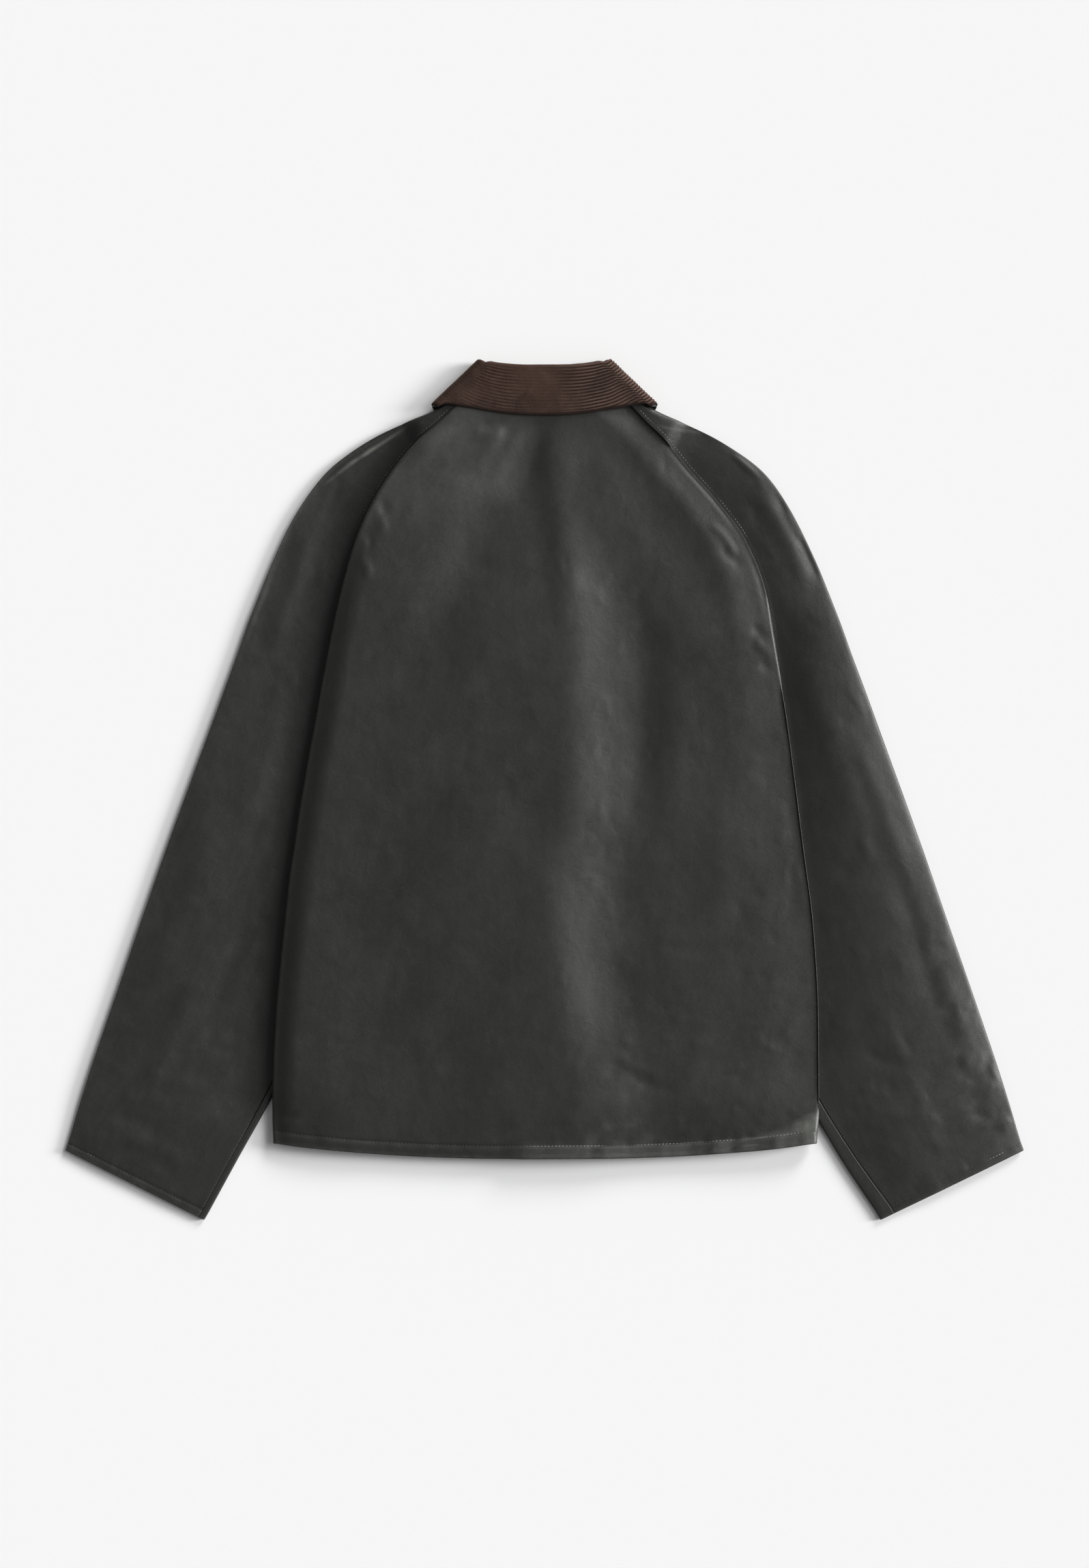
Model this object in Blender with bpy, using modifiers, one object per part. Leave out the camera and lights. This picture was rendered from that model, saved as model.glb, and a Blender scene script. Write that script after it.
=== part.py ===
"""Waxed cotton jacket with a corduroy collar and raglan sleeves, lying flat and face down.

Frame: +Z up, +Y towards the collar, +X towards the wearer's right side. The origin is at
the bottom centre of the object's box. Tables and sizes below are in millimetres, and they
are turned into metres where each mesh is made.

Every cloth piece is an open surface, the middle of its wall, that Solidify thickens.
The garment is two flattened tubes (the sleeves) under a third one (the body), and a
flattened ring (the collar) round the neck.
"""

import math
import bmesh
import bpy
import numpy as np

# ---------------------------------------------------------------- driving sizes, mm
WALL = 1.6            # waxed cotton with its seam allowances
HEM_WALL = 2.2        # turned hem of the body and of the cuffs
HEM_DEPTH = 11.0
CUFF_HEM_DEPTH = 6.0
SEAM = 0.3            # gap between two pieces that are sewn together
LEAN = 0.5            # more of it where the two walls lean over a rise
AIR = 1.6             # air between the two layers of a flattened tube
TUBE = 2 * WALL + AIR  # thickness of a flattened tube
FOLD_R = (TUBE - WALL) / 2  # radius of the middle of the wall round a side fold
STACK = TUBE + 0.8    # how far a tucked sleeve lifts the body
HEM_SAG = 14.3        # the hem is this much lower in the middle than at its corners
FLY_PAST = 22.0       # the left front runs this far past the middle
FLY_UNDER = 18.0      # the right front runs this far past the middle, above the fly
FLY_STEP = 2.6
RAGLAN_RIM = 2.8      # the back panel stands this far above the sleeve at the raglan seam

COLLAR_WALL = 1.6
COLLAR_PITCH = 2.0    # from one collar layer to the next
COLLAR_MID = 8.1      # height of the middle of the flattened collar ring
COLLAR_LIFT = 4.2     # the collar's front wings lift the fronts by this
NECK_SPREAD = 3.0     # extra room between front and back at the neck
CENTRING = 0.48       # moves the object along +Y, so that its box is centred on the origin
ROLL_BACK = 3.8       # from the roll line to the centre of the top collar's roll
UNDER_ROLL_BACK = 6.2  # the same for the under collar, inside it

# ---------------------------------------------------------------- tables
# Body outline seen from above. The raglan seams come first, then the side seams.
#        y       left    right
BODY = [
    (361.6, -73.0, 72.0),
    (338.3, -96.4, 93.9),
    (319.4, -118.4, 112.8),
    (294.2, -139.9, 133.6),
    (265.9, -158.1, 158.8),
    (231.2, -173.9, 184.0),
    (187.1, -186.5, 202.2),
    (136.7, -197.8, 212.3),
    (80.0, -207.9, 220.5),
    (17.0, -219.2, 229.3),
    (-52.3, -230.6, 238.1),
    (-127.9, -240.0, 247.6),
    (-203.5, -247.0, 252.0),
    (-262.0, -249.9, 252.5),
    (-296.0, -250.3, 252.6),
    (-314.1, -250.0, 251.6),
    (-325.1, -249.5, 250.7),
]
# Front raglan seam, from the neck to near the underarm, and the middle height of each row.
#        y      left    right  middle_y
FRONT_SEAM = [
    (331.5, -50.5, 50.5, 286.0),
    (317.5, -66.0, 66.5, 270.0),
    (304.0, -82.0, 83.5, 252.0),
    (285.0, -101.0, 103.5, 232.0),
    (260.5, -121.0, 125.0, 210.0),
    (233.0, -141.0, 148.0, 185.0),
    (197.0, -164.0, 175.5, 156.0),
    (150.0, -190.0, 205.0, 124.0),
]
FRONT_SIDE_FROM = 8   # from this row of BODY on, the fronts end at the side seams
# Sleeve sections from the neck to the cuff. The overarm fold is the outer end. Down to the
# underarm the inner ends are the raglan seams; from there on they are the underarm fold.
# hook is the angle by which the front half turns up round the underarm fold, in degrees,
# and strip is how far it then runs on over the back side.
#     outer_x outer_y inner_y  left   right  hook left_strip right_strip
SLEEVE = [
    (79.9, 364.2, None, None, None, 0, 1.5, 1.5),
    (100.5, 349.6, None, None, None, 0, 1.5, 1.5),
    (131.0, 336.0, None, None, None, 0, 1.5, 1.5),
    (158.8, 322.6, None, None, None, 0, 1.5, 1.5),
    (200.0, 293.0, None, None, None, 0, 1.5, 1.5),
    (229.0, 253.0, None, None, None, 0, 1.5, 1.5),
    (248.0, 214.0, None, None, None, 15, 1.5, 1.5),
    (262.0, 180.0, None, None, None, 50, 1.5, 1.5),
    (274.5, 148.0, 108.0, 184.0, 190.0, 120, 1.5, 1.5),
    (285.4, 117.8, 76.9, 162.5, 164.5, 180, 1.5, 1.5),
    (302.7, 69.9, 20.2, 152.5, 151.2, 180, 3.6, 4.0),
    (324.4, 10.7, -45.4, 156.9, 154.3, 180, 4.6, 6.6),
    (345.9, -48.5, -107.7, 172.0, 168.2, 180, 4.2, 6.6),
    (366.7, -107.7, -166.3, 194.7, 189.0, 180, 3.8, 6.8),
    (387.1, -166.9, -224.3, 220.5, 212.9, 180, 3.6, 7.0),
    (407.9, -228.1, -283.5, 250.7, 240.0, 180, 3.3, 7.4),
    (427.5, -288.5, -340.2, 282.2, 272.2, 180, 3.2, 9.6),
    (439.4, -327.6, -391.6, 310.3, 306.3, 180, 3.1, 11.4),
    (441.2, -332.6, -396.9, 313.4, 309.3, 180, 3.1, 11.5),
]
RAGLAN_ROWS = 8
CUFF_FROM = len(SLEEVE) - 2  # from this row on the sleeve has the hem's thickness
# Largest folds of the back, as soft ridges between two ends.
#      x0      y0      x1      y1   width height
BACK_FOLDS = [
    (26.0, 300.0, 39.0, 190.0, 26.0, 1.8),
    (39.0, 190.0, 43.0, 20.0, 28.0, 1.8),
    (43.0, 20.0, 16.0, -90.0, 26.0, 1.6),
    (16.0, -90.0, 52.0, -225.0, 26.0, 1.7),
    (10.0, 338.0, -70.0, 190.0, 22.0, -0.5),
    (-24.0, 168.0, -150.0, -20.0, 34.0, 0.8),
    (92.0, 262.0, 150.0, 160.0, 30.0, 0.7),
]
# Collar, left half: edge of the fall, roll line and neck seam, from the middle of the back
# to the side fold, and from the side fold to the front end.
#        edge_x  edge_y  roll_x  roll_y  neck_x  neck_y
COLLAR_BACK = [
    (0.0, 344.6, 0.0, 391.2, 0.0, 355.9),
    (-22.0, 345.2, -18.0, 391.2, -16.5, 356.4),
    (-45.0, 347.6, -32.0, 391.9, -33.0, 357.6),
    (-68.0, 351.5, -42.0, 392.8, -49.5, 359.1),
    (-90.1, 354.7, -49.5, 393.8, -68.0, 361.6),
]
COLLAR_FOLD = (-98.9, 349.6, -54.6, 392.0, -79.4, 364.8)
COLLAR_FRONT = [
    (-90.1, 325.7, -47.9, 380.5, -65.5, 350.9),
    (-74.3, 294.2, -33.4, 357.2, -47.9, 329.5),
    (-59.2, 262.7, -17.6, 333.3, -23.9, 305.6),
    (-44.1, 231.2, -2.2, 310.6, -2.2, 286.6),
]
COLLAR_TURN_STEPS = 6

# ---------------------------------------------------------------- small helpers


def smooth(value):
    value = min(1.0, max(0.0, value))
    return value * value * (3 - 2 * value)


def along(table, column, y):
    """Value of a column of a table whose first column is a falling y."""
    rows = sorted(table, key=lambda row: row[0])
    return float(np.interp(y, [row[0] for row in rows], [row[column] for row in rows]))


def ridge(x, y, x0, y0, x1, y1, width, height):
    """A soft ridge along a straight line, fading past its ends."""
    length = math.hypot(x1 - x0, y1 - y0)
    ux, uy = (x1 - x0) / length, (y1 - y0) / length
    t = (x - x0) * ux + (y - y0) * uy
    past = max(0.0, -t, t - length)
    side = (x - x0) * uy - (y - y0) * ux
    return height * math.exp(-((side / width) ** 2) - (past / (1.2 * width)) ** 2)


# ---------------------------------------------------------------- what lifts what


def underarm_fold(y, side):
    """Distance of the tucked sleeve's inner fold from the middle, at height y."""
    column = 3 if side < 0 else 4
    rows = [(row[2], row[column]) for row in SLEEVE[RAGLAN_ROWS:]]
    rows.append((FRONT_SEAM[-1][0], abs(FRONT_SEAM[-1][1 if side < 0 else 2])))
    return along(rows, 1, y)


def sleeve_lift(x, y, early=0.0):
    """How far the tucked sleeves lift the body's lower layer.

    The upper layer starts to rise earlier, nearer the middle."""
    fold = underarm_fold(y, x)
    return STACK * smooth((abs(x) - fold + 56 + early) / 28) * smooth((205 + early - y) / 50)


def wing_edge(x):
    """Lower end of the collar's front wings at distance x from the middle."""
    if x < 44:
        return 304 - x * 73 / 44
    if x < 99:
        return 231 + (x - 44) * 119 / 55
    return 350 + (x - 99) * 2.0


def collar_lift(x, y, early=0.0):
    lower_end = min(wing_edge(abs(x)), wing_edge(max(0.0, abs(x) - 15)))
    return COLLAR_LIFT * smooth((y - lower_end + 48 + early) / 26)


def neck_spread(x, y):
    """Room for the inside of the collar between front and back, round the neck."""
    return NECK_SPREAD * smooth((154 - math.hypot(x, y - 360)) / 46)


def fly_lift(x, y):
    """The lapped fronts push the back panel up along the middle."""
    return 2.1 * smooth((58 - abs(x - 2)) / 26) * smooth((322 - y) / 22)


def hem_line(x, y):
    """Lowers a level row to the curve of the hem, more the nearer it is to the hem."""
    return y - HEM_SAG * (1 - min(1.0, abs(x) / 250.0) ** 2.6) * smooth((-60 - y) / 265)


# ---------------------------------------------------------------- sections


def turn(angle, radius, length, distance):
    """Point of a strip that runs straight, then round an arc to angle, then straight on.

    length is that of the strip up to the end of the arc. The result is how far in the
    point lies and how far it has risen."""
    arc = radius * angle
    straight = length - arc
    if distance <= straight:
        return distance, 0.0
    turned = min((distance - straight) / radius, angle)
    rest = max(0.0, distance - length)
    return (
        straight + radius * math.sin(turned) + rest * math.cos(angle),
        radius * (1 - math.cos(turned)) + rest * math.sin(angle),
    )


def edge(angle_degrees, length, steps, strip=0.0, radius=FOLD_R):
    """Columns of an edge that turns: (inset from the outermost point, rise)."""
    angle = math.radians(angle_degrees)
    distances = [length * k / steps for k in range(steps + 1)]
    if strip:
        distances += [length + strip * 0.5, length + strip]
    points = [turn(angle, radius, length, distance) for distance in distances]
    reach = max(point[0] for point in points)
    half_wall = WALL / 2 * math.sin(min(angle, math.pi / 2))
    return [(reach + half_wall - inward, rise) for inward, rise in points]


QUARTER = 64.0
HEM_FROM = -310.0     # below this height the walls of the body have the hem's thickness
QUARTER_LENGTH = FOLD_R * math.radians(QUARTER)
HALF_LENGTH = FOLD_R * math.pi


# ---------------------------------------------------------------- building a sheet

collection = bpy.data.collections.new("waxed_cotton_jacket")


def sheet(name, points, material, wall=WALL, hem=None):
    """A wall round the grid of points (rows x columns x 3, in millimetres).

    hem holds one weight per row: 1 where the wall has the hem's thickness."""
    points = np.asarray(points, dtype=float)
    rows, columns = points.shape[:2]
    bm = bmesh.new()
    bmesh.ops.create_grid(bm, x_segments=columns - 1, y_segments=rows - 1, size=0.5)
    row_of = []
    for vert in bm.verts:
        column = round((vert.co.x + 0.5) * (columns - 1))
        row = round((vert.co.y + 0.5) * (rows - 1))
        vert.co = points[row, column] * 0.001
        row_of.append(row)
    mesh = bpy.data.meshes.new(name)
    bm.to_mesh(mesh)
    bm.free()
    mesh.materials.append(material)
    mesh.shade_smooth()
    obj = bpy.data.objects.new(name, mesh)
    collection.objects.link(obj)
    solidify = obj.modifiers.new("wall", "SOLIDIFY")
    solidify.thickness = (HEM_WALL if hem else wall) * 0.001
    solidify.offset = 0.0
    if hem:
        group = obj.vertex_groups.new(name="hem")
        for index, row in enumerate(row_of):
            share = (WALL + (HEM_WALL - WALL) * hem[row]) / HEM_WALL
            group.add([index], share, "REPLACE")
        solidify.vertex_group = group.name
    return obj


# ---------------------------------------------------------------- back panel


def rim(y):
    """Rise of the back panel's edge above the sleeve along the raglan seam."""
    return RAGLAN_RIM * smooth((345 - y) / 30) * smooth((y - 95) / 55)


def back_turn(y):
    """Angle of the back panel's rolled edge."""
    return 8.0 + (QUARTER - 8.0) * smooth((296 - y) / 30)


def back_height(x, y, left, right):
    """Middle of the back panel's wall."""
    from_edge = min(x - left, right - x)
    inside = smooth((from_edge - 6) / 26)
    height = sleeve_lift(x, y, 10 * inside) + collar_lift(x, y, 26)
    height += max(neck_spread(x, y), inside * fly_lift(x, y))
    height += WALL + AIR + WALL / 2
    if y < HEM_FROM:
        height += (HEM_WALL - WALL) / 2 + 0.25 + 0.4 * inside
    height += rim(y) * smooth(1 - from_edge / 60)
    folds = sum(ridge(x, y, *fold) for fold in BACK_FOLDS)
    return height + inside * folds * smooth((352 - y) / 26)


def back_grid(flat_columns=20, steps=3):
    grid, hem = [], []
    for y, left, right in BODY:
        columns = edge(back_turn(y), QUARTER_LENGTH, steps)
        flat_inset = columns[0][0]
        row = []
        for inset, rise in reversed(columns[1:]):
            row.append((left + inset, left + flat_inset, rise))
        for x in np.linspace(left + flat_inset, right - flat_inset, flat_columns):
            row.append((x, x, 0.0))
        for inset, rise in columns[1:]:
            row.append((right - inset, right - flat_inset, rise))
        points = []
        for x, at, rise in row:
            line = hem_line(at, y) if y < 300 else y
            if y > 360:
                line = 355.5 + 6.1 * min(1.0, (abs(at) / 70.0)) ** 2
            points.append((x, line, back_height(at, line, left, right) - rise))
        grid.append(points)
        hem.append(1.0 if y < HEM_FROM else 0.0)
    return grid, hem


# ---------------------------------------------------------------- fronts


def neck_line(x):
    """Front neck seam at distance x from the middle."""
    rows = sorted((abs(row[4]), row[5]) for row in COLLAR_FRONT)
    return float(np.interp(abs(x), [r[0] for r in rows], [r[1] for r in rows]))


def front_height(x, y, side):
    lapped = smooth((46 - x) / 20) if side > 0 else 0.0
    height = sleeve_lift(x, y) + collar_lift(x, y, 10 * lapped) + WALL / 2
    return height + FLY_STEP * lapped


def front_grid(side, flat_columns=13, steps=3):
    """One front, from its side edge to its middle edge."""
    column = 1 if side < 0 else 2
    past = FLY_PAST if side < 0 else FLY_UNDER
    rows = [(row[0], row[column] - side * (SEAM + LEAN) / 2, row[3], 5.0) for row in FRONT_SEAM]
    rows += [(row[0], row[column], row[0], QUARTER) for row in BODY[FRONT_SIDE_FROM:]]
    grid, hem = [], []
    for number, (y_side, x_side, y_middle, angle) in enumerate(rows):
        columns = edge(angle, QUARTER_LENGTH, steps)
        points = []
        start = x_side - side * columns[0][0]
        stations = [(x_side - side * inset, rise) for inset, rise in reversed(columns[1:])]
        stations += [(x, 0.0) for x in np.linspace(start, -side * past, flat_columns)]
        for x, rise in stations:
            at = x if rise == 0.0 else start
            share = min(1.0, abs(at) / abs(start)) if at * side > 0 else 0.0
            if number == 0:
                y = neck_line(at) - SEAM * 2
            elif number < len(FRONT_SEAM):
                first = neck_line(at) - (neck_line(start) - y_side)
                level = y_middle + (y_side - y_middle) * share
                y = level + (first - level) * 0.35 * smooth(1 - number / 5)
                y = y_side + (y - y_side) * smooth((1 - share) * 6)
            else:
                y = hem_line(at, y_side)
            extra = (HEM_WALL - WALL) / 2 if y_side < HEM_FROM else 0.0
            points.append((x, y, front_height(at, y, side) + rise + extra))
        grid.append(points)
        hem.append(1.0 if y_side < HEM_FROM else 0.0)
    return grid, hem


# ---------------------------------------------------------------- sleeves


def sleeve_rows(side, half):
    """(outer point, inner point, hook, strip, raglan) of each section of a half sleeve."""
    column = 1 if side < 0 else 2
    found = []
    for number, (ox, oy, iy, left, right, hook, *strips) in enumerate(SLEEVE):
        if number < RAGLAN_ROWS:
            table = BODY if half == "back" else FRONT_SEAM
            inner = (table[number][column], table[number][0])
        else:
            inner = (side * (left if side < 0 else right), iy)
        strip = strips[0 if side < 0 else 1]
        found.append((np.array([side * ox, oy]), np.array(inner), hook, strip, number < RAGLAN_ROWS))
    return found


def place(x, y, z, back):
    """Adds what lies under a point of a sleeve. back is 0 at the folds and 1 on the back half."""
    return (x, y, z + collar_lift(x, y) + neck_spread(x, y) * back)


def crown(x, y, share):
    """A free sleeve is a little fuller along its middle."""
    edge_x = along(BODY, 1 if x < 0 else 2, y)
    free = smooth((abs(x) - abs(edge_x) - 8) / 34) if y > -300 else 1.0
    return 1.4 * math.sin(math.pi * min(1.0, max(0.0, share))) * free


def sleeve_back_grid(side, flat_columns=8, steps=3):
    grid, hem = [], []
    for number, (outer, inner, _, strip, raglan) in enumerate(sleeve_rows(side, "back")):
        turned_up = 1.0 if number >= CUFF_FROM else 0.0
        extra = ((HEM_WALL - WALL) / 2 + 0.25) * turned_up
        unit = (outer - inner) / np.linalg.norm(outer - inner)
        if raglan:
            inset = -SEAM + (4.0 + SEAM) * smooth((316 - inner[1]) / 24)
            start = inner - unit * inset
        else:
            clear = 4.0 * smooth((inner[1] + 40) / 60)
            start = inner + unit * (TUBE / 2 + strip + SEAM + clear)
        columns = edge(QUARTER, QUARTER_LENGTH, steps)
        stop = outer - unit * columns[0][0]
        points = []
        for share in np.linspace(0, 1, flat_columns):
            p = start + (stop - start) * share
            height = TUBE - WALL / 2 + crown(p[0], p[1], share) + extra
            points.append(place(p[0], p[1], height, 1.0))
        for inset, rise in columns[1:]:
            p = outer - unit * inset
            points.append(place(p[0], p[1], TUBE - WALL / 2 - rise + extra, 1 - rise / FOLD_R))
        grid.append(points)
        hem.append(turned_up)
    return grid, hem


def sleeve_front_grid(side, flat_columns=6, steps=3, hook_steps=4):
    grid, hem = [], []
    for number, (outer, inner, hook, strip, raglan) in enumerate(sleeve_rows(side, "front")):
        turned_up = 1.0 if number >= CUFF_FROM else 0.0
        low = WALL / 2 + (HEM_WALL - WALL) / 2 * turned_up
        unit = (outer - inner) / np.linalg.norm(outer - inner)
        hooked = edge(hook, HALF_LENGTH, hook_steps, strip)
        gap = unit * ((SEAM + LEAN) / 2 if raglan else 0.0)
        start = inner + gap + unit * hooked[0][0]
        columns = edge(QUARTER, QUARTER_LENGTH, steps)
        stop = outer - unit * columns[0][0]
        points = []
        for inset, rise in reversed(hooked[1:]):
            p = inner + gap + unit * inset
            points.append(place(p[0], p[1], low + rise, 0.0))
        for share in np.linspace(0, 1, flat_columns):
            p = start + (stop - start) * share
            points.append(place(p[0], p[1], low, 0.0))
        for inset, rise in columns[1:]:
            p = outer - unit * inset
            points.append(place(p[0], p[1], low + rise, 0.0))
        grid.append(points)
        hem.append(turned_up)
    return grid, hem


# ---------------------------------------------------------------- collar


def collar_stations():
    """Sections of the collar from the left front end round the back to the right one.

    Each is (edge, roll, neck, outward, angle): angle is +90 degrees on the back and -90
    on the front, and it turns from one to the other at the side folds."""
    def row(values, angle, outward=(0.0, 0.0)):
        e, r, n = np.array(values[0:2]), np.array(values[2:4]), np.array(values[4:6])
        return e, r, n, np.array(outward), math.radians(angle)

    fold = COLLAR_FOLD
    line = np.array(fold[2:4]) - np.array(fold[0:2])
    line = line / np.linalg.norm(line)
    outward = (-line[1], line[0])
    half = [row(values, -90) for values in reversed(COLLAR_FRONT)]
    for step in range(COLLAR_TURN_STEPS + 1):
        half.append(row(fold, -90 + 180 * step / COLLAR_TURN_STEPS, outward))
    half += [row(values, 90) for values in reversed(COLLAR_BACK)]
    flip = np.array([-1.0, 1.0])
    other = [(e * flip, r * flip, n * flip, o * flip, a) for e, r, n, o, a in reversed(half[:-1])]
    return half + other


def collar_grid(roll_radius, fall_columns, stand_columns, roll_steps, edge_back, neck_back, roll_back):
    """The fall, the roll and the stand of one collar layer, folded round the roll line."""
    middle = 2.05 * COLLAR_PITCH
    grid = []
    for e, r, n, outward, angle in collar_stations():
        up = (r - e) / np.linalg.norm(r - e)
        centre = r - up * roll_back
        tip = e + up * edge_back
        to_neck = (n - centre) / np.linalg.norm(n - centre)
        foot = n - to_neck * neck_back
        points = []
        for share in np.linspace(0, 1, fall_columns):
            points.append((tip + (centre - tip) * share, middle + roll_radius))
        for step in range(1, roll_steps):
            turned = math.pi * step / roll_steps
            points.append((centre + up * roll_radius * math.sin(turned), middle + roll_radius * math.cos(turned)))
        for share in np.linspace(0, 1, stand_columns):
            points.append((centre + (foot - centre) * share, middle - roll_radius))
        row = []
        for plan, reach in points:
            x, y = plan + outward * reach * math.cos(angle)
            row.append((x, y, COLLAR_MID + reach * math.sin(angle)))
        grid.append(row)
    return grid


# ---------------------------------------------------------------- materials


def material(name, colour, roughness):
    made = bpy.data.materials.new(name)
    made.use_nodes = True
    shader = made.node_tree.nodes["Principled BSDF"]
    shader.inputs["Base Color"].default_value = (*colour, 1.0)
    shader.inputs["Roughness"].default_value = roughness
    shader.inputs["Metallic"].default_value = 0.0
    made.diffuse_color = (*colour, 1.0)
    return made


# ---------------------------------------------------------------- the object


def main():
    for old in list(bpy.data.objects):
        bpy.data.objects.remove(old, do_unlink=True)
    bpy.context.scene.collection.children.link(collection)

    cotton = material("waxed_cotton", (0.042, 0.044, 0.040), 0.5)
    corduroy = material("corduroy", (0.050, 0.026, 0.018), 0.9)
    facing = material("under_collar_cotton", (0.022, 0.026, 0.022), 0.6)

    grid, hem = back_grid()
    pieces = [sheet("back_panel", grid, cotton, hem=hem)]
    for side, label in ((-1, "left"), (1, "right")):
        grid, hem = front_grid(side)
        pieces.append(sheet(f"front_{label}", grid, cotton, hem=hem))
        grid, hem = sleeve_back_grid(side)
        pieces.append(sheet(f"sleeve_{label}_back", grid, cotton, hem=hem))
        grid, hem = sleeve_front_grid(side)
        pieces.append(sheet(f"sleeve_{label}_front", grid, cotton, hem=hem))
    pieces.append(
        sheet(
            "collar_top",
            collar_grid(1.5 * COLLAR_PITCH, 4, 3, 4, 0.0, 1.0, ROLL_BACK),
            corduroy,
            wall=COLLAR_WALL,
        )
    )
    pieces.append(
        sheet(
            "collar_under",
            collar_grid(0.5 * COLLAR_PITCH, 4, 3, 4, 2.0, 1.0, UNDER_ROLL_BACK),
            facing,
            wall=COLLAR_WALL,
        )
    )
    jacket = bpy.data.objects.new("jacket", None)
    jacket.location = (0.0, CENTRING * 0.001, 0.0)
    collection.objects.link(jacket)
    for piece in pieces:
        piece.parent = jacket


main()
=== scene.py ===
"""Waxed cotton jacket with a corduroy collar, laid face down: its cloth, seams and finish.

Sizes in the tables are in millimetres, +Y towards the collar and +X towards the wearer's
right side. They become metres, and take the CAD's shift along Y, where each mesh is made.
Every piece of cloth is a thin shell round a fine grid that follows its CAD solid.
"""

import math

import bpy
import numpy as np
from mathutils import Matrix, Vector


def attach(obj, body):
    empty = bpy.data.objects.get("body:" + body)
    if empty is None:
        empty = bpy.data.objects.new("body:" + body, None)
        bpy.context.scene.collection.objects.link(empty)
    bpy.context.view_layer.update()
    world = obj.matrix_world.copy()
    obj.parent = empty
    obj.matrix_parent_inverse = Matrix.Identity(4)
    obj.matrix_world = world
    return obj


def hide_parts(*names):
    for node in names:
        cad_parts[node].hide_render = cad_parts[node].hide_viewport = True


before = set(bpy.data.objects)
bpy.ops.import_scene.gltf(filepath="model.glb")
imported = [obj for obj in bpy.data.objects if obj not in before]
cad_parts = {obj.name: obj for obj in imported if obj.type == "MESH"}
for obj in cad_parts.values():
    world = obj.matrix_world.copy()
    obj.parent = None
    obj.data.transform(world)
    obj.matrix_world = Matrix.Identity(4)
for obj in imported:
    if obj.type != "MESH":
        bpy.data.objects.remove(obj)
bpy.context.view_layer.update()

# ---------------------------------------------------------------- sizes, mm
CLOTH = 0.9           # waxed cotton as it shows
WALL = 1.6            # the same wall in the CAD model
AIR = 1.6
TUBE = 2 * WALL + AIR
STACK = TUBE + 0.8
CENTRING = 0.48       # the CAD's shift along +Y
HEM_SAG = 14.3
HEM_DEPTH = 10.6
CUFF_DEPTH = 5.6
FLY_PAST = 22.0
FLY_UNDER = 18.0
FLY_STEP = 2.6
SEAM = 0.3
RAGLAN_RIM = 3.6      # how far the back rises towards the left raglan seam
COLLAR_LIFT = 4.2
NECK_SPREAD = 3.0
COLLAR_PITCH = 2.0
COLLAR_MID = 8.1
ROLL_BACK = 3.8
UNDER_ROLL_BACK = 6.2
WALE = 3.0           # from one wale of the corduroy to the next
CROWN = 5.5           # how full the free part of a sleeve is
SIDE_PUFF = 2.2       # fullness of the body along its side folds
HEM_LIFT = 1.6        # how far the back of the hem stands off
EDGE_UP = 2.8         # how much rounder than the CAD the overarm folds are
VALLEY_DEPTH = 2.2    # how far a sleeve dips beside the body
SLEEVE_RELIEF = 1.25
LEFT_LIFT = 6.4       # how much higher the left half of the back lies than the right
RAGLAN_LIFT = 4.4     # how much higher the right raglan seam lies than the CAD's
RELIEF = 1.0          # scale of the folds' heights

# ---------------------------------------------------------------- tables, as in the CAD
#        y       left    right
BODY = np.array([
    (361.6, -73.0, 72.0), (338.3, -96.4, 93.9), (319.4, -118.4, 112.8),
    (294.2, -139.9, 133.6), (265.9, -158.1, 158.8), (231.2, -173.9, 184.0),
    (187.1, -186.5, 202.2), (136.7, -197.8, 212.3), (80.0, -207.9, 220.5),
    (17.0, -219.2, 229.3), (-52.3, -230.6, 238.1), (-127.9, -240.0, 247.6),
    (-203.5, -247.0, 252.0), (-262.0, -249.9, 252.5), (-296.0, -250.3, 252.6),
    (-314.1, -250.0, 251.6), (-325.1, -249.5, 250.7),
])
#        y      left    right  middle_y
FRONT_SEAM = np.array([
    (331.5, -50.5, 50.5, 286.0), (317.5, -66.0, 66.5, 270.0), (304.0, -82.0, 83.5, 252.0),
    (285.0, -101.0, 103.5, 232.0), (260.5, -121.0, 125.0, 210.0), (233.0, -141.0, 148.0, 185.0),
    (197.0, -164.0, 175.5, 156.0), (150.0, -190.0, 205.0, 124.0),
])
FRONT_SIDE_FROM = 8
RAGLAN_ROWS = 8
NONE = 0.0
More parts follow.
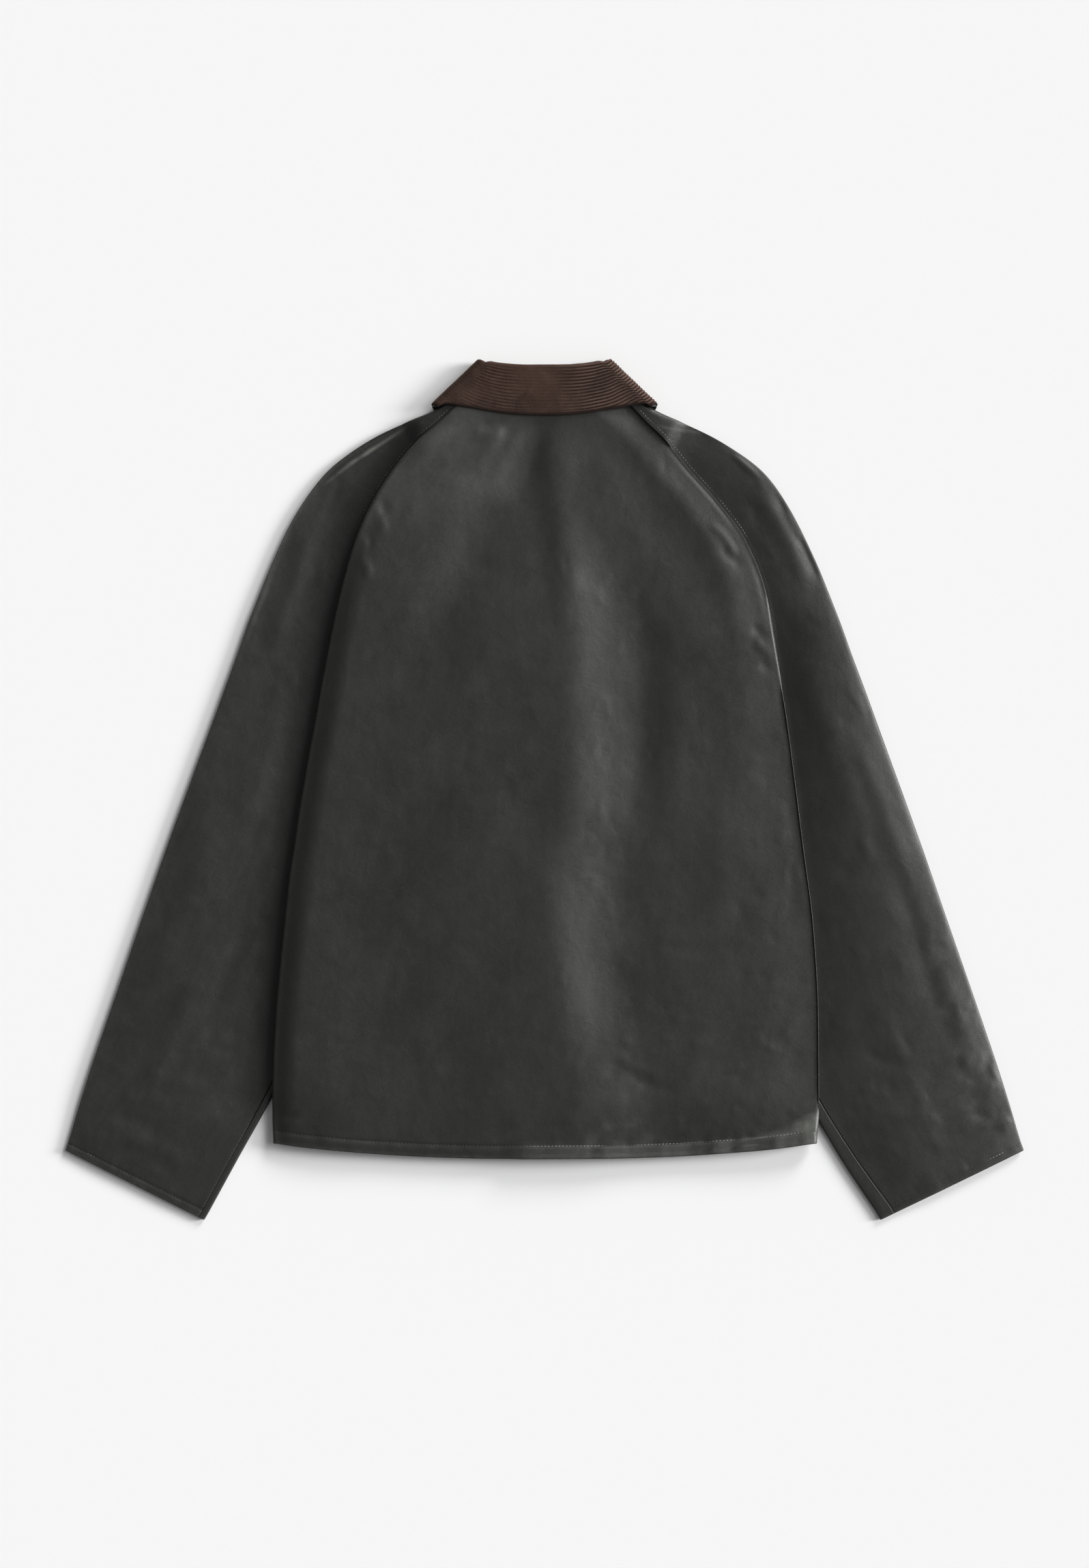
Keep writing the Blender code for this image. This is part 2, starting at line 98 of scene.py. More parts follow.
#     outer_x outer_y inner_y  left   right  hook left_strip right_strip
SLEEVE = np.array([
    (79.9, 364.2, NONE, NONE, NONE, 0, 1.5, 1.5), (100.5, 349.6, NONE, NONE, NONE, 0, 1.5, 1.5),
    (131.0, 336.0, NONE, NONE, NONE, 0, 1.5, 1.5), (158.8, 322.6, NONE, NONE, NONE, 0, 1.5, 1.5),
    (200.0, 293.0, NONE, NONE, NONE, 0, 1.5, 1.5), (229.0, 253.0, NONE, NONE, NONE, 0, 1.5, 1.5),
    (248.0, 214.0, NONE, NONE, NONE, 15, 1.5, 1.5), (262.0, 180.0, NONE, NONE, NONE, 50, 1.5, 1.5),
    (274.5, 148.0, 108.0, 184.0, 190.0, 120, 1.5, 1.5), (285.4, 117.8, 76.9, 162.5, 164.5, 180, 1.5, 1.5),
    (302.7, 69.9, 20.2, 152.5, 151.2, 180, 3.6, 4.0), (324.4, 10.7, -45.4, 156.9, 154.3, 180, 4.6, 6.6),
    (345.9, -48.5, -107.7, 172.0, 168.2, 180, 4.2, 6.6), (366.7, -107.7, -166.3, 194.7, 189.0, 180, 3.8, 6.8),
    (387.1, -166.9, -224.3, 220.5, 212.9, 180, 3.6, 7.0), (407.9, -228.1, -283.5, 250.7, 240.0, 180, 3.3, 7.4),
    (427.5, -288.5, -340.2, 282.2, 272.2, 180, 3.2, 9.6), (439.4, -327.6, -391.6, 310.3, 306.3, 180, 3.1, 11.4),
    (441.2, -332.6, -396.9, 313.4, 309.3, 180, 3.1, 11.5),
])
#        edge_x  edge_y  roll_x  roll_y  neck_x  neck_y
COLLAR_BACK = [
    (0.0, 344.6, 0.0, 391.2, 0.0, 355.9), (-22.0, 345.2, -18.0, 391.2, -16.5, 356.4),
    (-45.0, 347.6, -32.0, 391.9, -33.0, 357.6), (-68.0, 351.5, -42.0, 392.8, -49.5, 359.1),
    (-90.1, 354.7, -49.5, 393.8, -68.0, 361.6),
]
COLLAR_FOLD = (-98.9, 349.6, -54.6, 392.0, -79.4, 364.8)
COLLAR_FRONT = [
    (-90.1, 325.7, -47.9, 380.5, -65.5, 350.9), (-74.3, 294.2, -33.4, 357.2, -47.9, 329.5),
    (-59.2, 262.7, -17.6, 333.3, -23.9, 305.6), (-44.1, 231.2, -2.2, 310.6, -2.2, 286.6),
]

# Folds of the back: height, width to the left and to the right of the crest, and the
# crest itself. A negative height is a trough. Each fades out at both ends.
RIDGE = np.array([(8, 340), (9, 300), (16, 225), (22, 162), (23, 99), (22, 36), (20, -27), (6, -90), (9, -153), (20, -216), (32, -280), (36, -340)], float)
BACK_FOLDS = [
    (2.6, 15, 22, [(4, 362), (8, 330), (8, 290), (14, 240), (20, 190), (22, 140)]),
    (3.4, 100, 32, [(14, 250), (20, 200), (23, 130), (24, 60), (22, 0), (17, -50)]),
    (3.2, 116, 34, [(23, 60), (22, -10), (11, -72), (7, -120), (12, -176), (22, -224), (34, -276)]),
    (-2.6, 14, 14, [(6, 366), (-6, 338), (-15, 310), (-26, 284), (-38, 262)]),
    (-1.8, 24, 30, [(-10, 322), (-30, 282), (-52, 240), (-76, 196), (-104, 140), (-128, 84)]),
    (0.9, 38, 36, [(-66, 330), (-84, 290), (-104, 244), (-128, 190), (-150, 130)]),
    (-0.8, 7, 8, [(-22, 344), (-31, 331), (-39, 318), (-47, 306), (-58, 286)]),
    (0.4, 8, 10, [(-33, 345), (-42, 328), (-52, 310), (-66, 288)]),
    (-1.2, 5, 5, [(-64, 338), (-54, 336), (-43, 338), (-34, 342)]),
    (1.0, 6, 7, [(-68, 332), (-52, 327), (-36, 330)]),
    (1.6, 34, 32, [(-22, 196), (-46, 150), (-88, 84), (-130, 20), (-164, -40)]),
    (1.4, 36, 30, [(-46, 30), (-80, -30), (-122, -90), (-156, -150)]),
    (1.1, 26, 22, [(52, 322), (62, 286), (84, 238), (116, 182), (140, 130), (152, 80)]),
    (-2.2, 40, 24, [(66, 350), (74, 314), (90, 278), (116, 232), (144, 186), (160, 142)]),
    (-1.4, 18, 16, [(78, 190), (90, 140), (96, 80), (92, 10), (98, -50)]),
    (1.2, 22, 20, [(114, 130), (122, 60), (116, -10), (126, -70)]),
    (1.0, 20, 18, [(150, 20), (164, -50), (160, -120), (174, -180)]),
    (-0.9, 20, 18, [(84, -40), (76, -90), (88, -130), (96, -170)]),
    (1.0, 24, 20, [(52, -206), (84, -232), (124, -258), (156, -290)]),
    (1.0, 30, 24, [(-60, -140), (-96, -190), (-150, -236)]),
    (-0.8, 24, 20, [(-20, -200), (-52, -250), (-96, -290)]),
    (0.5, 6, 7, [(96, -133), (126, -136), (158, -134)]),
    (-0.45, 5, 5, [(108, -146), (136, -150), (170, -144)]),
    (0.55, 5, 5, [(64, -243), (88, -258), (112, -262)]),
    (-0.55, 5, 5, [(72, -256), (98, -273), (126, -279)]),
    (-1.3, 3.4, 3.0, [(-249, -298), (-236, -301), (-224, -298)]),
    (0.9, 3.4, 3.4, [(-249, -306), (-236, -309), (-222, -305)]),
    (1.2, 5, 5, [(-186, 286), (-160, 264), (-150, 246), (-146, 226)]),
    (-1.1, 4, 4, [(-158, 272), (-150, 262), (-146, 250)]),
    (-1.1, 3.6, 3.6, [(-170, 246), (-162, 233), (-159, 218)]),
    (1.0, 4, 4, [(-171, 214), (-164, 205), (-160, 192)]),
    (-1.1, 4, 4, [(190, 152), (202, 142), (212, 139)]),
    (1.1, 4, 4, [(192, 138), (203, 129), (212, 122)]),
    (-1.0, 4, 4, [(198, 120), (206, 112), (216, 106)]),
    (1.0, 5, 4, [(214, 60), (222, 44), (228, 20)]),
    (-0.9, 5, 4, [(222, -6), (229, -26), (234, -50)]),
    (1.0, 5, 5, [(230, -64), (238, -88), (243, -116)]),
    (0.9, 4, 4, [(150, 246), (166, 232), (178, 214)]),
    (-0.8, 4, 4, [(160, 224), (172, 212), (184, 206)]),
]
# Small creases that the wax keeps: how many, the box that they lie in (x0, y0, x1, y1),
# their main direction in degrees, their length, width and height.
BACK_CRUMPLES = [
    (34, (60, -310, 246, -180), 12, (12, 34), (2.6, 5.2), 0.50, 11),
    (26, (60, -180, 236, 40), 55, (14, 40), (3.0, 6.0), 0.38, 12),
    (20, (14, -250, 76, 190), 80, (12, 30), (2.8, 5.4), 0.32, 13),
    (22, (-200, -300, 40, -120), 25, (16, 44), (3.4, 7.0), 0.32, 14),
    (18, (-190, -120, 0, 120), 60, (18, 50), (4.0, 8.0), 0.30, 15),
    (16, (-150, 120, 150, 320), 70, (16, 42), (3.4, 7.0), 0.30, 16),
    (18, (182, -240, 246, 150), 20, (8, 22), (2.2, 3.6), 0.50, 17),
    (10, (-246, -280, -196, 120), 25, (10, 22), (2.6, 4.2), 0.34, 18),
    (16, (120, -322, 248, -292), 5, (8, 20), (2.0, 3.4), 0.46, 19),
]
# Folds of the sleeves as they show: side, height, left and right width, crest.
SLEEVE_FOLDS = [
    (1, 1.2, 10, 9, [(190, 288), (214, 252), (234, 212), (246, 176)]),
    (1, -1.0, 8, 8, [(206, 280), (226, 250), (240, 222), (254, 190)]),
    (1, 0.8, 4, 4, [(172, 312), (186, 298), (200, 286)]),
    (1, 0.9, 5, 5, [(222, 262), (232, 242), (240, 226)]),
    (1, 0.8, 14, 12, [(226, 150), (252, 80), (280, 0), (300, -60)]),
    (1, 0.9, 9, 9, [(280, 60), (300, 10), (322, -46), (340, -96)]),
    (1, -0.8, 9, 8, [(318, -60), (338, -120), (356, -180), (372, -226)]),
    (1, 0.9, 10, 9, [(360, -150), (384, -216), (404, -272), (420, -316)]),
    (1, 0.7, 12, 10, [(300, -180), (330, -250), (352, -310), (366, -350)]),
    (1, -0.6, 6, 5, [(290, -236), (316, -252), (346, -256)]),
    (1, 0.7, 7, 6, [(296, -300), (330, -300), (362, -286), (398, -274)]),
    (1, -0.7, 6, 5, [(376, -258), (396, -264), (414, -262)]),
    (-1, 1.2, 3.6, 3.0, [(-122, 338), (-134, 329), (-156, 315), (-180, 299), (-204, 280)]),
    (-1, 1.1, 3.2, 2.8, [(-119, 338.5), (-111, 334), (-105, 330)]),
    (-1, -0.9, 3.0, 3.0, [(-121, 332.5), (-112, 329), (-106, 324)]),
    (-1, 1.0, 13, 10, [(-206, 262), (-226, 214), (-244, 160), (-258, 110)]),
    (-1, -0.8, 12, 12, [(-226, 236), (-246, 176), (-266, 116)]),
    (-1, 0.8, 16, 12, [(-244, 90), (-262, 20), (-288, -60)]),
    (-1, 0.7, 16, 14, [(-296, -10), (-322, -80), (-350, -150), (-370, -210)]),
    (-1, -0.6, 10, 10, [(-274, -120), (-296, -180), (-316, -236)]),
    (-1, 0.7, 11, 10, [(-318, -170), (-352, -246), (-372, -300)]),
    (-1, 0.6, 8, 7, [(-276, -262), (-312, -276), (-350, -272)]),
    (-1, 0.7, 7, 6, [(-330, -346), (-360, -330), (-396, -318)]),
    (-1, -0.6, 6, 6, [(-352, -318), (-376, -306), (-402, -302)]),
]
SLEEVE_CRUMPLES = [
    (20, (190, 60, 300, 290), -65, (12, 34), (3.0, 6.0), 0.36, 31),
    (26, (250, -260, 410, 60), -68, (16, 44), (3.4, 7.0), 0.34, 32),
    (22, (280, -370, 430, -220), 18, (10, 30), (2.6, 5.0), 0.42, 33),
    (22, (384, -322, 436, -236), 14, (10, 26), (2.2, 3.6), 0.85, 37),
    (12, (360, -230, 410, -120), 28, (10, 24), (2.4, 4.0), 0.55, 38),
    (18, (-300, 60, -190, 300), 65, (12, 34), (3.0, 6.0), 0.30, 34),
    (24, (-410, -260, -250, 60), 66, (16, 44), (3.4, 7.0), 0.28, 35),
    (18, (-430, -380, -280, -220), -18, (10, 30), (2.6, 5.0), 0.34, 36),
]
# Folds of the undersides, which lie on the floor, so all of them rise.
FRONT_FOLDS = [
    (0.8, 16, 14, [(-150, 40), (-120, -60), (-100, -180)]),
    (0.7, 14, 14, [(130, 60), (110, -50), (124, -170), (150, -250)]),
    (0.6, 10, 9, [(-60, 200), (-80, 120), (-72, 30)]),
    (0.6, 9, 10, [(70, 190), (96, 130), (88, 60)]),
    (0.5, 8, 8, [(-200, -200), (-150, -220), (-90, -214)]),
    (0.5, 8, 7, [(60, -230), (120, -250), (190, -240)]),
    (0.6, 9, 8, [(230, 60), (262, -20), (290, -110)]),
    (0.5, 9, 9, [(-236, 50), (-264, -40), (-300, -130)]),
    (0.5, 8, 8, [(310, -180), (340, -240), (370, -260)]),
    (0.5, 8, 8, [(-320, -170), (-352, -236), (-384, -262)]),
]

# ---------------------------------------------------------------- numbers


def smooth(value):
    value = np.clip(value, 0.0, 1.0)
    return value * value * (3 - 2 * value)


def curve(xs, ys, at):
    """A smooth line through a table, with no overshoot between its rows."""
    order = np.argsort(xs)
    xs, ys = np.asarray(xs, float)[order], np.asarray(ys, float)[order]
    at = np.asarray(at, float)
    step = np.diff(xs)
    rate = np.diff(ys) / step
    tangent = np.zeros_like(ys)
    with np.errstate(divide="ignore", invalid="ignore"):
        w1, w2 = 2 * step[1:] + step[:-1], step[1:] + 2 * step[:-1]
        mean = (w1 + w2) / (w1 / rate[:-1] + w2 / rate[1:])
    tangent[1:-1] = np.where(rate[:-1] * rate[1:] > 0, mean, 0.0)
    tangent[0], tangent[-1] = rate[0], rate[-1]
    inside = np.clip(at, xs[0], xs[-1])
    i = np.clip(np.searchsorted(xs, inside, side="right") - 1, 0, len(xs) - 2)
    t = (inside - xs[i]) / step[i]
    a, b = ys[i], ys[i + 1]
    value = (
        a * (1 + 2 * t) * (1 - t) ** 2 + step[i] * tangent[i] * t * (1 - t) ** 2
        + b * t * t * (3 - 2 * t) + step[i] * tangent[i + 1] * t * t * (t - 1)
    )
    return value + np.where(at < xs[0], (at - xs[0]) * tangent[0], 0) + np.where(at > xs[-1], (at - xs[-1]) * tangent[-1], 0)


def lattice(seed):
    return np.random.default_rng(seed).uniform(-1, 1, (64, 64))


def noise(x, y, size, seed):
    """Smooth noise from -1 to 1 whose lumps are about this large."""
    grid = lattice(seed)
    u, v = np.asarray(x) / size + 17.3, np.asarray(y) / size + 5.7
    i, j = np.floor(u).astype(int), np.floor(v).astype(int)
    a, b = smooth(u - i), smooth(v - j)
    at = lambda p, q: grid[p % 64, q % 64]
    low = at(i, j) * (1 - a) + at(i + 1, j) * a
    high = at(i, j + 1) * (1 - a) + at(i + 1, j + 1) * a
    return low * (1 - b) + high * b


def fbm(x, y, size, seed, octaves=3, turn=0.6):
    total, share = 0.0, 1.0
    for octave in range(octaves):
        c, s = math.cos(turn * (octave + 1)), math.sin(turn * (octave + 1))
        total = total + share * noise(x * c - y * s, x * s + y * c, size / 2**octave, seed + octave)
        share *= 0.55
    return total


def through(points, count=26):
    """A smooth line through a few points."""
    points = np.asarray(points, float)
    at = np.concatenate([[0], np.cumsum(np.hypot(*np.diff(points, axis=0).T))])
    t = np.linspace(0, at[-1], count)
    return np.stack([curve(at, points[:, 0], t), curve(at, points[:, 1], t)], axis=1)


def crease(x, y, height, left, right, points):
    """A soft ridge or trough along a line, with its own width on each side."""
    line = through(points)
    widest = 3.0 * max(left, right)
    low, high = line.min(axis=0) - widest, line.max(axis=0) + widest
    found = np.zeros_like(x)
    near = (x > low[0]) & (x < high[0]) & (y > low[1]) & (y < high[1])
    if not near.any():
        return found
    p = np.stack([x[near], y[near]], axis=1)[:, None, :]
    a, d = line[:-1][None], np.diff(line, axis=0)[None]
    length = (d**2).sum(axis=2)
    t = np.clip(((p - a) * d).sum(axis=2) / length, 0, 1)
    off = p - a - d * t[..., None]
    far = (off**2).sum(axis=2)
    best = far.argmin(axis=1)
    rows = np.arange(len(best))
    off, t, d = off[rows, best], t[rows, best], d[0][best]
    side = d[:, 0] * off[:, 1] - d[:, 1] * off[:, 0]
    width = np.where(side > 0, right, left)
    share = (best + t) / (len(line) - 1)
    ends = smooth(share / 0.28) * smooth((1 - share) / 0.28)
    found[near] = height * ends * np.exp(-far[rows, best] / width**2)
    return found


def folds(x, y, table):
    total = np.zeros_like(x)
    for height, left, right, points in table:
        total += crease(x, y, height, left, right, points)
    return total


def crumples(x, y, table):
    """Short creases scattered over a box, mostly along one direction."""
    total = np.zeros_like(x)
    for count, (x0, y0, x1, y1), main, lengths, widths, height, seed in table:
        draw = np.random.default_rng(seed)
        for _ in range(count):
            px, py = draw.uniform(x0, x1), draw.uniform(y0, y1)
            angle = math.radians(main + draw.normal(0, 26))
            half = draw.uniform(*lengths) / 2
            bend = draw.uniform(-0.28, 0.28) * half
            ux, uy = math.cos(angle), math.sin(angle)
            width = draw.uniform(*widths)
            tall = height * draw.uniform(0.45, 1.0) * (1 if draw.random() < 0.6 else -1)
            points = [(px - ux * half, py - uy * half), (px - uy * bend, py + ux * bend), (px + ux * half, py + uy * half)]
            total += crease(x, y, tall, width, width * draw.uniform(0.7, 1.4), points)
    return total


# ---------------------------------------------------------------- what lifts what


def underarm_fold(x, y):
    rows = np.vstack([SLEEVE[RAGLAN_ROWS:, [2, 3, 4]], [FRONT_SEAM[-1, 0], -FRONT_SEAM[-1, 1], FRONT_SEAM[-1, 2]]])
    return np.where(x < 0, curve(rows[:, 0], rows[:, 1], y), curve(rows[:, 0], rows[:, 2], y))


def sleeve_share(x, y, early=0.0, over=28.0):
    """0 where the body lies on the floor, 1 where it lies on a tucked sleeve."""
    fold = underarm_fold(x, y)
    return smooth((np.abs(x) - fold + 28 + over + early) / over) * smooth((205 + early - y) / 50)


def wing_edge(x):
    return np.where(x < 44, 304 - x * 73 / 44, np.where(x < 99, 231 + (x - 44) * 119 / 55, 350 + (x - 99) * 2.0))


def collar_lift(x, y, early=0.0):
    end = np.minimum(wing_edge(np.abs(x)), wing_edge(np.maximum(0.0, np.abs(x) - 15)))
    return COLLAR_LIFT * smooth((y - end + 48 + early) / 26)


def neck_spread(x, y):
    return NECK_SPREAD * smooth((154 - np.hypot(x, y - 360)) / 46)


def hem_line(x, y):
    return y - HEM_SAG * (1 - np.minimum(1.0, np.abs(x) / 250.0) ** 2.6) * smooth((-60 - y) / 265)


def body_edge(side, y):
    return curve(BODY[:, 0], BODY[:, 1 if side < 0 else 2], y)


# ---------------------------------------------------------------- shells


def shell(name, grid, thick, material, outer=0.0, round_rim=0.45, attributes=None):
    """A closed wall round a grid of points (rows x columns x 3, mm), rounded at its rim.

    Its outer side is that of the cross product of the column and row directions, and
    outer moves that side out by so much more."""
    p = np.asarray(grid, float)
    rows, columns = p.shape[:2]
    along_c, along_r = np.gradient(p, axis=1), np.gradient(p, axis=0)
    normal = np.cross(along_c, along_r)
    normal /= np.maximum(np.linalg.norm(normal, axis=2, keepdims=True), 1e-9)
    half = np.broadcast_to(np.asarray(thick, float) / 2, (rows, columns))[..., None]
    extra = np.broadcast_to(np.asarray(outer, float), (rows, columns))[..., None]
    top, bottom = p + normal * (half + extra), p - normal * half
    index = np.arange(rows * columns).reshape(rows, columns)
    loop = np.concatenate([index[0, :-1], index[:-1, -1], index[-1, :0:-1], index[:0:-1, 0]])
    inner = np.concatenate([index[1, :-1], index[:-1, -2], index[-2, :0:-1], index[:0:-1, 1]])
    flat = p.reshape(-1, 3)
    out = flat[loop] - flat[inner]
    out /= np.maximum(np.linalg.norm(out, axis=1, keepdims=True), 1e-9)
    middle = flat[loop] + out * half.reshape(-1)[loop][:, None] * 2 * round_rim
    vertices = np.concatenate([top.reshape(-1, 3), bottom.reshape(-1, 3), middle]) * 0.001
    vertices[:, 1] += CENTRING * 0.001
    vertices[:, 2] = np.maximum(vertices[:, 2], 0.00004)
    n = rows * columns
    a, b, c, d = index[:-1, :-1].ravel(), index[:-1, 1:].ravel(), index[1:, 1:].ravel(), index[1:, :-1].ravel()
    upper = np.stack([a, b, c, d], axis=1)
    lower = np.stack([d, c, b, a], axis=1) + n
    m = len(loop)
    r0, r1 = 2 * n + np.arange(m), 2 * n + (np.arange(m) + 1) % m
    l0, l1 = loop, np.roll(loop, -1)
    faces = np.concatenate([upper, lower, np.stack([l1, l0, r0, r1], axis=1), np.stack([r1, r0, l0 + n, l1 + n], axis=1)])
    mesh = bpy.data.meshes.new(name)
    mesh.from_pydata(vertices.tolist(), [], faces.tolist())
    mesh.shade_smooth()
    obj = bpy.data.objects.new(name, mesh)
    bpy.context.scene.collection.objects.link(obj)
    mesh.materials.append(material)
    u = np.concatenate([np.zeros((rows, 1)), np.cumsum(np.linalg.norm(np.diff(p, axis=1), axis=2), axis=1)], axis=1)
    u -= u[:, columns // 2][:, None]
    v = np.concatenate([np.zeros((1, columns)), np.cumsum(np.linalg.norm(np.diff(p, axis=0), axis=2), axis=0)], axis=0)
    cloth = np.stack([u, v, np.zeros_like(u)], axis=2).reshape(-1, 3) * 0.001
    cloth = np.concatenate([cloth, cloth, cloth[loop]]).astype(np.float32)
    made = mesh.attributes.new("cloth", "FLOAT_VECTOR", "POINT")
    made.data.foreach_set("vector", cloth.ravel())
    for key, values in (attributes or {}).items():
        values = np.broadcast_to(np.asarray(values, float), (rows, columns)).reshape(-1)
        values = np.concatenate([values, values, values[loop]]).astype(np.float32)
        made = mesh.attributes.new(key, "FLOAT", "POINT")
        made.data.foreach_set("value", values)
    return obj


def turned_in(grid, away, up, radius, depth, arc=7, run=5):
    """Adds rows to a grid: its last row goes round a fold and back inside.

    away is the direction past the edge, up the side on which the hem turns in."""
    grid = np.asarray(grid, float)
    last = grid[-1]
    away = np.broadcast_to(np.asarray(away, float), last.shape)
    rows = []
    for k in range(1, arc + 1):
        turn = math.pi * k / arc
        rows.append(last + away * radius * math.sin(turn) + up * radius * (1 - math.cos(turn)))
    for k in range(1, run + 1):
        rows.append(rows[arc - 1] - away * depth * k / run)
    return np.concatenate([grid, np.stack(rows)])


def on_sheet(grid, r, c, outer):
    """Points and outward normals of a shell's face at fractional rows and columns."""
    grid = np.asarray(grid)
    rows, columns = grid.shape[:2]
    r, c = np.clip(r, 0, rows - 1.001), np.clip(c, 0, columns - 1.001)
    i, j = r.astype(int), c.astype(int)
    a, b = (r - i)[:, None], (c - j)[:, None]
    p00, p01, p10, p11 = grid[i, j], grid[i, j + 1], grid[i + 1, j], grid[i + 1, j + 1]
    point = (p00 * (1 - b) + p01 * b) * (1 - a) + (p10 * (1 - b) + p11 * b) * a
    normal = np.cross((p01 - p00) * (1 - a) + (p11 - p10) * a, (p10 - p00) * (1 - b) + (p11 - p01) * b)
    normal /= np.linalg.norm(normal, axis=1, keepdims=True)
    return point + normal * outer, normal


def stitches(name, runs, material, pitch=3.3, length=2.3, width=0.5, tall=0.34, pale=None):
    """Rows of separate stitches as one mesh. Each run is points and normals along a line."""
    vertices, faces = [], []
    ring = 6
    for points, normals in runs:
        at = np.concatenate([[0], np.cumsum(np.linalg.norm(np.diff(points, axis=0), axis=1))])
        for start in np.arange(pitch / 2, at[-1] - length, pitch):
            t = np.array([start, start + length * 0.22, start + length * 0.78, start + length])
            p = np.stack([np.interp(t, at, points[:, k]) for k in range(3)], axis=1)
            n = np.stack([np.interp(t, at, normals[:, k]) for k in range(3)], axis=1)
            n /= np.linalg.norm(n, axis=1, keepdims=True)
            way = p[-1] - p[0]
            way /= np.linalg.norm(way)
            across = np.cross(way, n)
            first = len(vertices)
            vertices.append(p[0] - n[0] * 0.15)
            for k in (1, 2):
                for s in range(ring):
                    turn = 2 * math.pi * s / ring
                    vertices.append(p[k] + across[k] * math.cos(turn) * width / 2 + n[k] * (math.sin(turn) * tall / 2 + tall * 0.22))
            vertices.append(p[3] - n[3] * 0.15)
            for s in range(ring):
                q = (s + 1) % ring
                faces.append((first, first + 1 + s, first + 1 + q))
                faces.append((first + 1 + s, first + 1 + ring + s, first + 1 + ring + q, first + 1 + q))
                faces.append((first + 1 + ring + s, first + 1 + 2 * ring, first + 1 + ring + q))
    vertices = np.array(vertices) * 0.001
    vertices[:, 1] += CENTRING * 0.001
    mesh = bpy.data.meshes.new(name)
    mesh.from_pydata(vertices.tolist(), [], faces)
    mesh.shade_smooth()
    obj = bpy.data.objects.new(name, mesh)
    bpy.context.scene.collection.objects.link(obj)
    mesh.materials.append(material)
    mm = vertices * 1000 - np.array([0.0, CENTRING, 0.0])
    share = np.zeros(len(mm)) if pale is None else np.clip(pale(mm[:, 0], mm[:, 1]), 0, 1)
    made = mesh.attributes.new("pale", "FLOAT", "POINT")
    made.data.foreach_set("value", share.astype(np.float32))
    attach(obj, "root")
    return obj


# ---------------------------------------------------------------- back panel

PALE_WEAR_AND_PAINTED_LIGHT = None   # where the back is painted paler: worn wax at the hem, and a painted highlight on the upper left
SEAM_TOP = {}  # height of the back along each raglan seam, which the sleeve meets
STITCH_Y = BODY[-1, 0] + HEM_DEPTH


def back_lift(x, y, from_edge):
    """The collar's ends lie under the back, which passes over them in one soft rise."""
    across = np.where(x < 0, 1.0, smooth((from_edge - 1) / 38))
    return COLLAR_LIFT * smooth((y - 30) / 150) * across


def back_height(x, y, y_side, left, right):
    from_left, from_right = x - left, right - x
    from_edge = np.minimum(from_left, from_right)
    inside = smooth((from_edge - 6) / 26)
    lifted = sleeve_share(x, y, 10 * inside + 26, 92)
    soft = 0.5 + 0.5 * smooth((330 - y) / 110)
    height = STACK * (lifted + (1 - lifted) * 0.62 * soft)
    height += back_lift(x, y, from_edge) + neck_spread(x, y) * (0.62 + (0.38 - 0.7 * inside * smooth((352 - y) / 20)) * smooth((46 - x) / 70))
    height += WALL + AIR + WALL - CLOTH / 2 + HEM_LIFT * smooth((-230 - y_side) / 80) * smooth((from_edge - 4) / 60)
    # The left half stands higher, up to the crest of the middle fold, and rises towards it.
    crest = curve(RIDGE[:, 1], RIDGE[:, 0], y)
    higher = smooth((crest + 70 - x) / 80) * smooth((260 - y) / 120) * (0.55 + 0.45 * smooth((y + 330) / 90))
    share = np.clip(from_left / np.maximum(crest - left, 1.0), 0, 1)
    height += higher * (LEFT_LIFT + 2.0 * (share**1.3) * smooth((170 - y) / 90)) * smooth((from_edge + 4) / 26)
    raglan = smooth((345 - y_side) / 30) * smooth((y_side - 95) / 55)
    height += raglan * np.where(x < 0, RAGLAN_RIM * np.clip(1 - from_edge / 112, 0, 1) ** 1.3, 0.0)
    height -= 2.4 * smooth(1 - from_left / 13) * smooth((250 - y_side) / 50) * smooth((y_side + 326) / 30)
    height -= (0.5 + 0.9 * smooth(0.4 + noise(y_side, 0 * y_side, 40, 55))) * smooth(1 - from_right / 8) * smooth((y_side - 40) / 50) * smooth((330 - y_side) / 40)
    below = smooth((150 - y_side) / 70) * smooth((y_side + 322) / 50)
    height += below * (2.2 * SIDE_PUFF * smooth(1 - from_left / 130) - 3.0 * smooth(1 - from_right / 62) ** 1.4)
    shown = smooth((348 - y) / 22)
    free = smooth((from_edge - 3) / 16)
    height += RELIEF * (folds(x, y, BACK_FOLDS) + 0.95 * crumples(x, y, BACK_CRUMPLES)) * shown * (0.25 + 0.75 * free)
    height += (0.26 * fbm(x, y * 0.6, 52, 3) + 0.11 * fbm(x, y, 15, 8)) * shown * free
    height += 0.8 * np.exp(-(((x + 120) / 50) ** 2) - ((y - 262) / 46) ** 2)
    clear = smooth((y - 190) / 30) * smooth((from_edge - 20) / 20)  # the collar's ends lie below
    over = 0.5 * (height + 9.5 + np.sqrt((height - 9.5) ** 2 + 1.2))
    height = height + (over - height) * clear
    return height


def hem_relief(x, y_side):
    """The doubled hem: a groove along its stitches, puckers, and a right half that curls up."""
    off = y_side - STITCH_Y
    groove = -0.50 * np.exp(-((off / 1.5) ** 2)) + 0.28 * np.exp(-(((off + 4.6) / 3.0) ** 2))
    strength = 0.35 + 0.65 * smooth((x + 60) / 200)
    pucker = noise(x, 0 * x, 6.5, 71) * 0.52 + noise(x, 0 * x, 15.0, 72) * 0.75
    pucker *= strength * np.exp(-(((off + 1.5) / 8.5) ** 2))
    curl = 4.4 * smooth((x + 44) / 30) * np.clip((3 - off) / 13.0, 0, 1) ** 1.25 - 0.25 * smooth((-off) / 9.0)
    corner = 2.6 * smooth((x - 188) / 44) * smooth((24 + 0.35 * (x - 240) - off) / 26)
    return groove + pucker + curl + corner


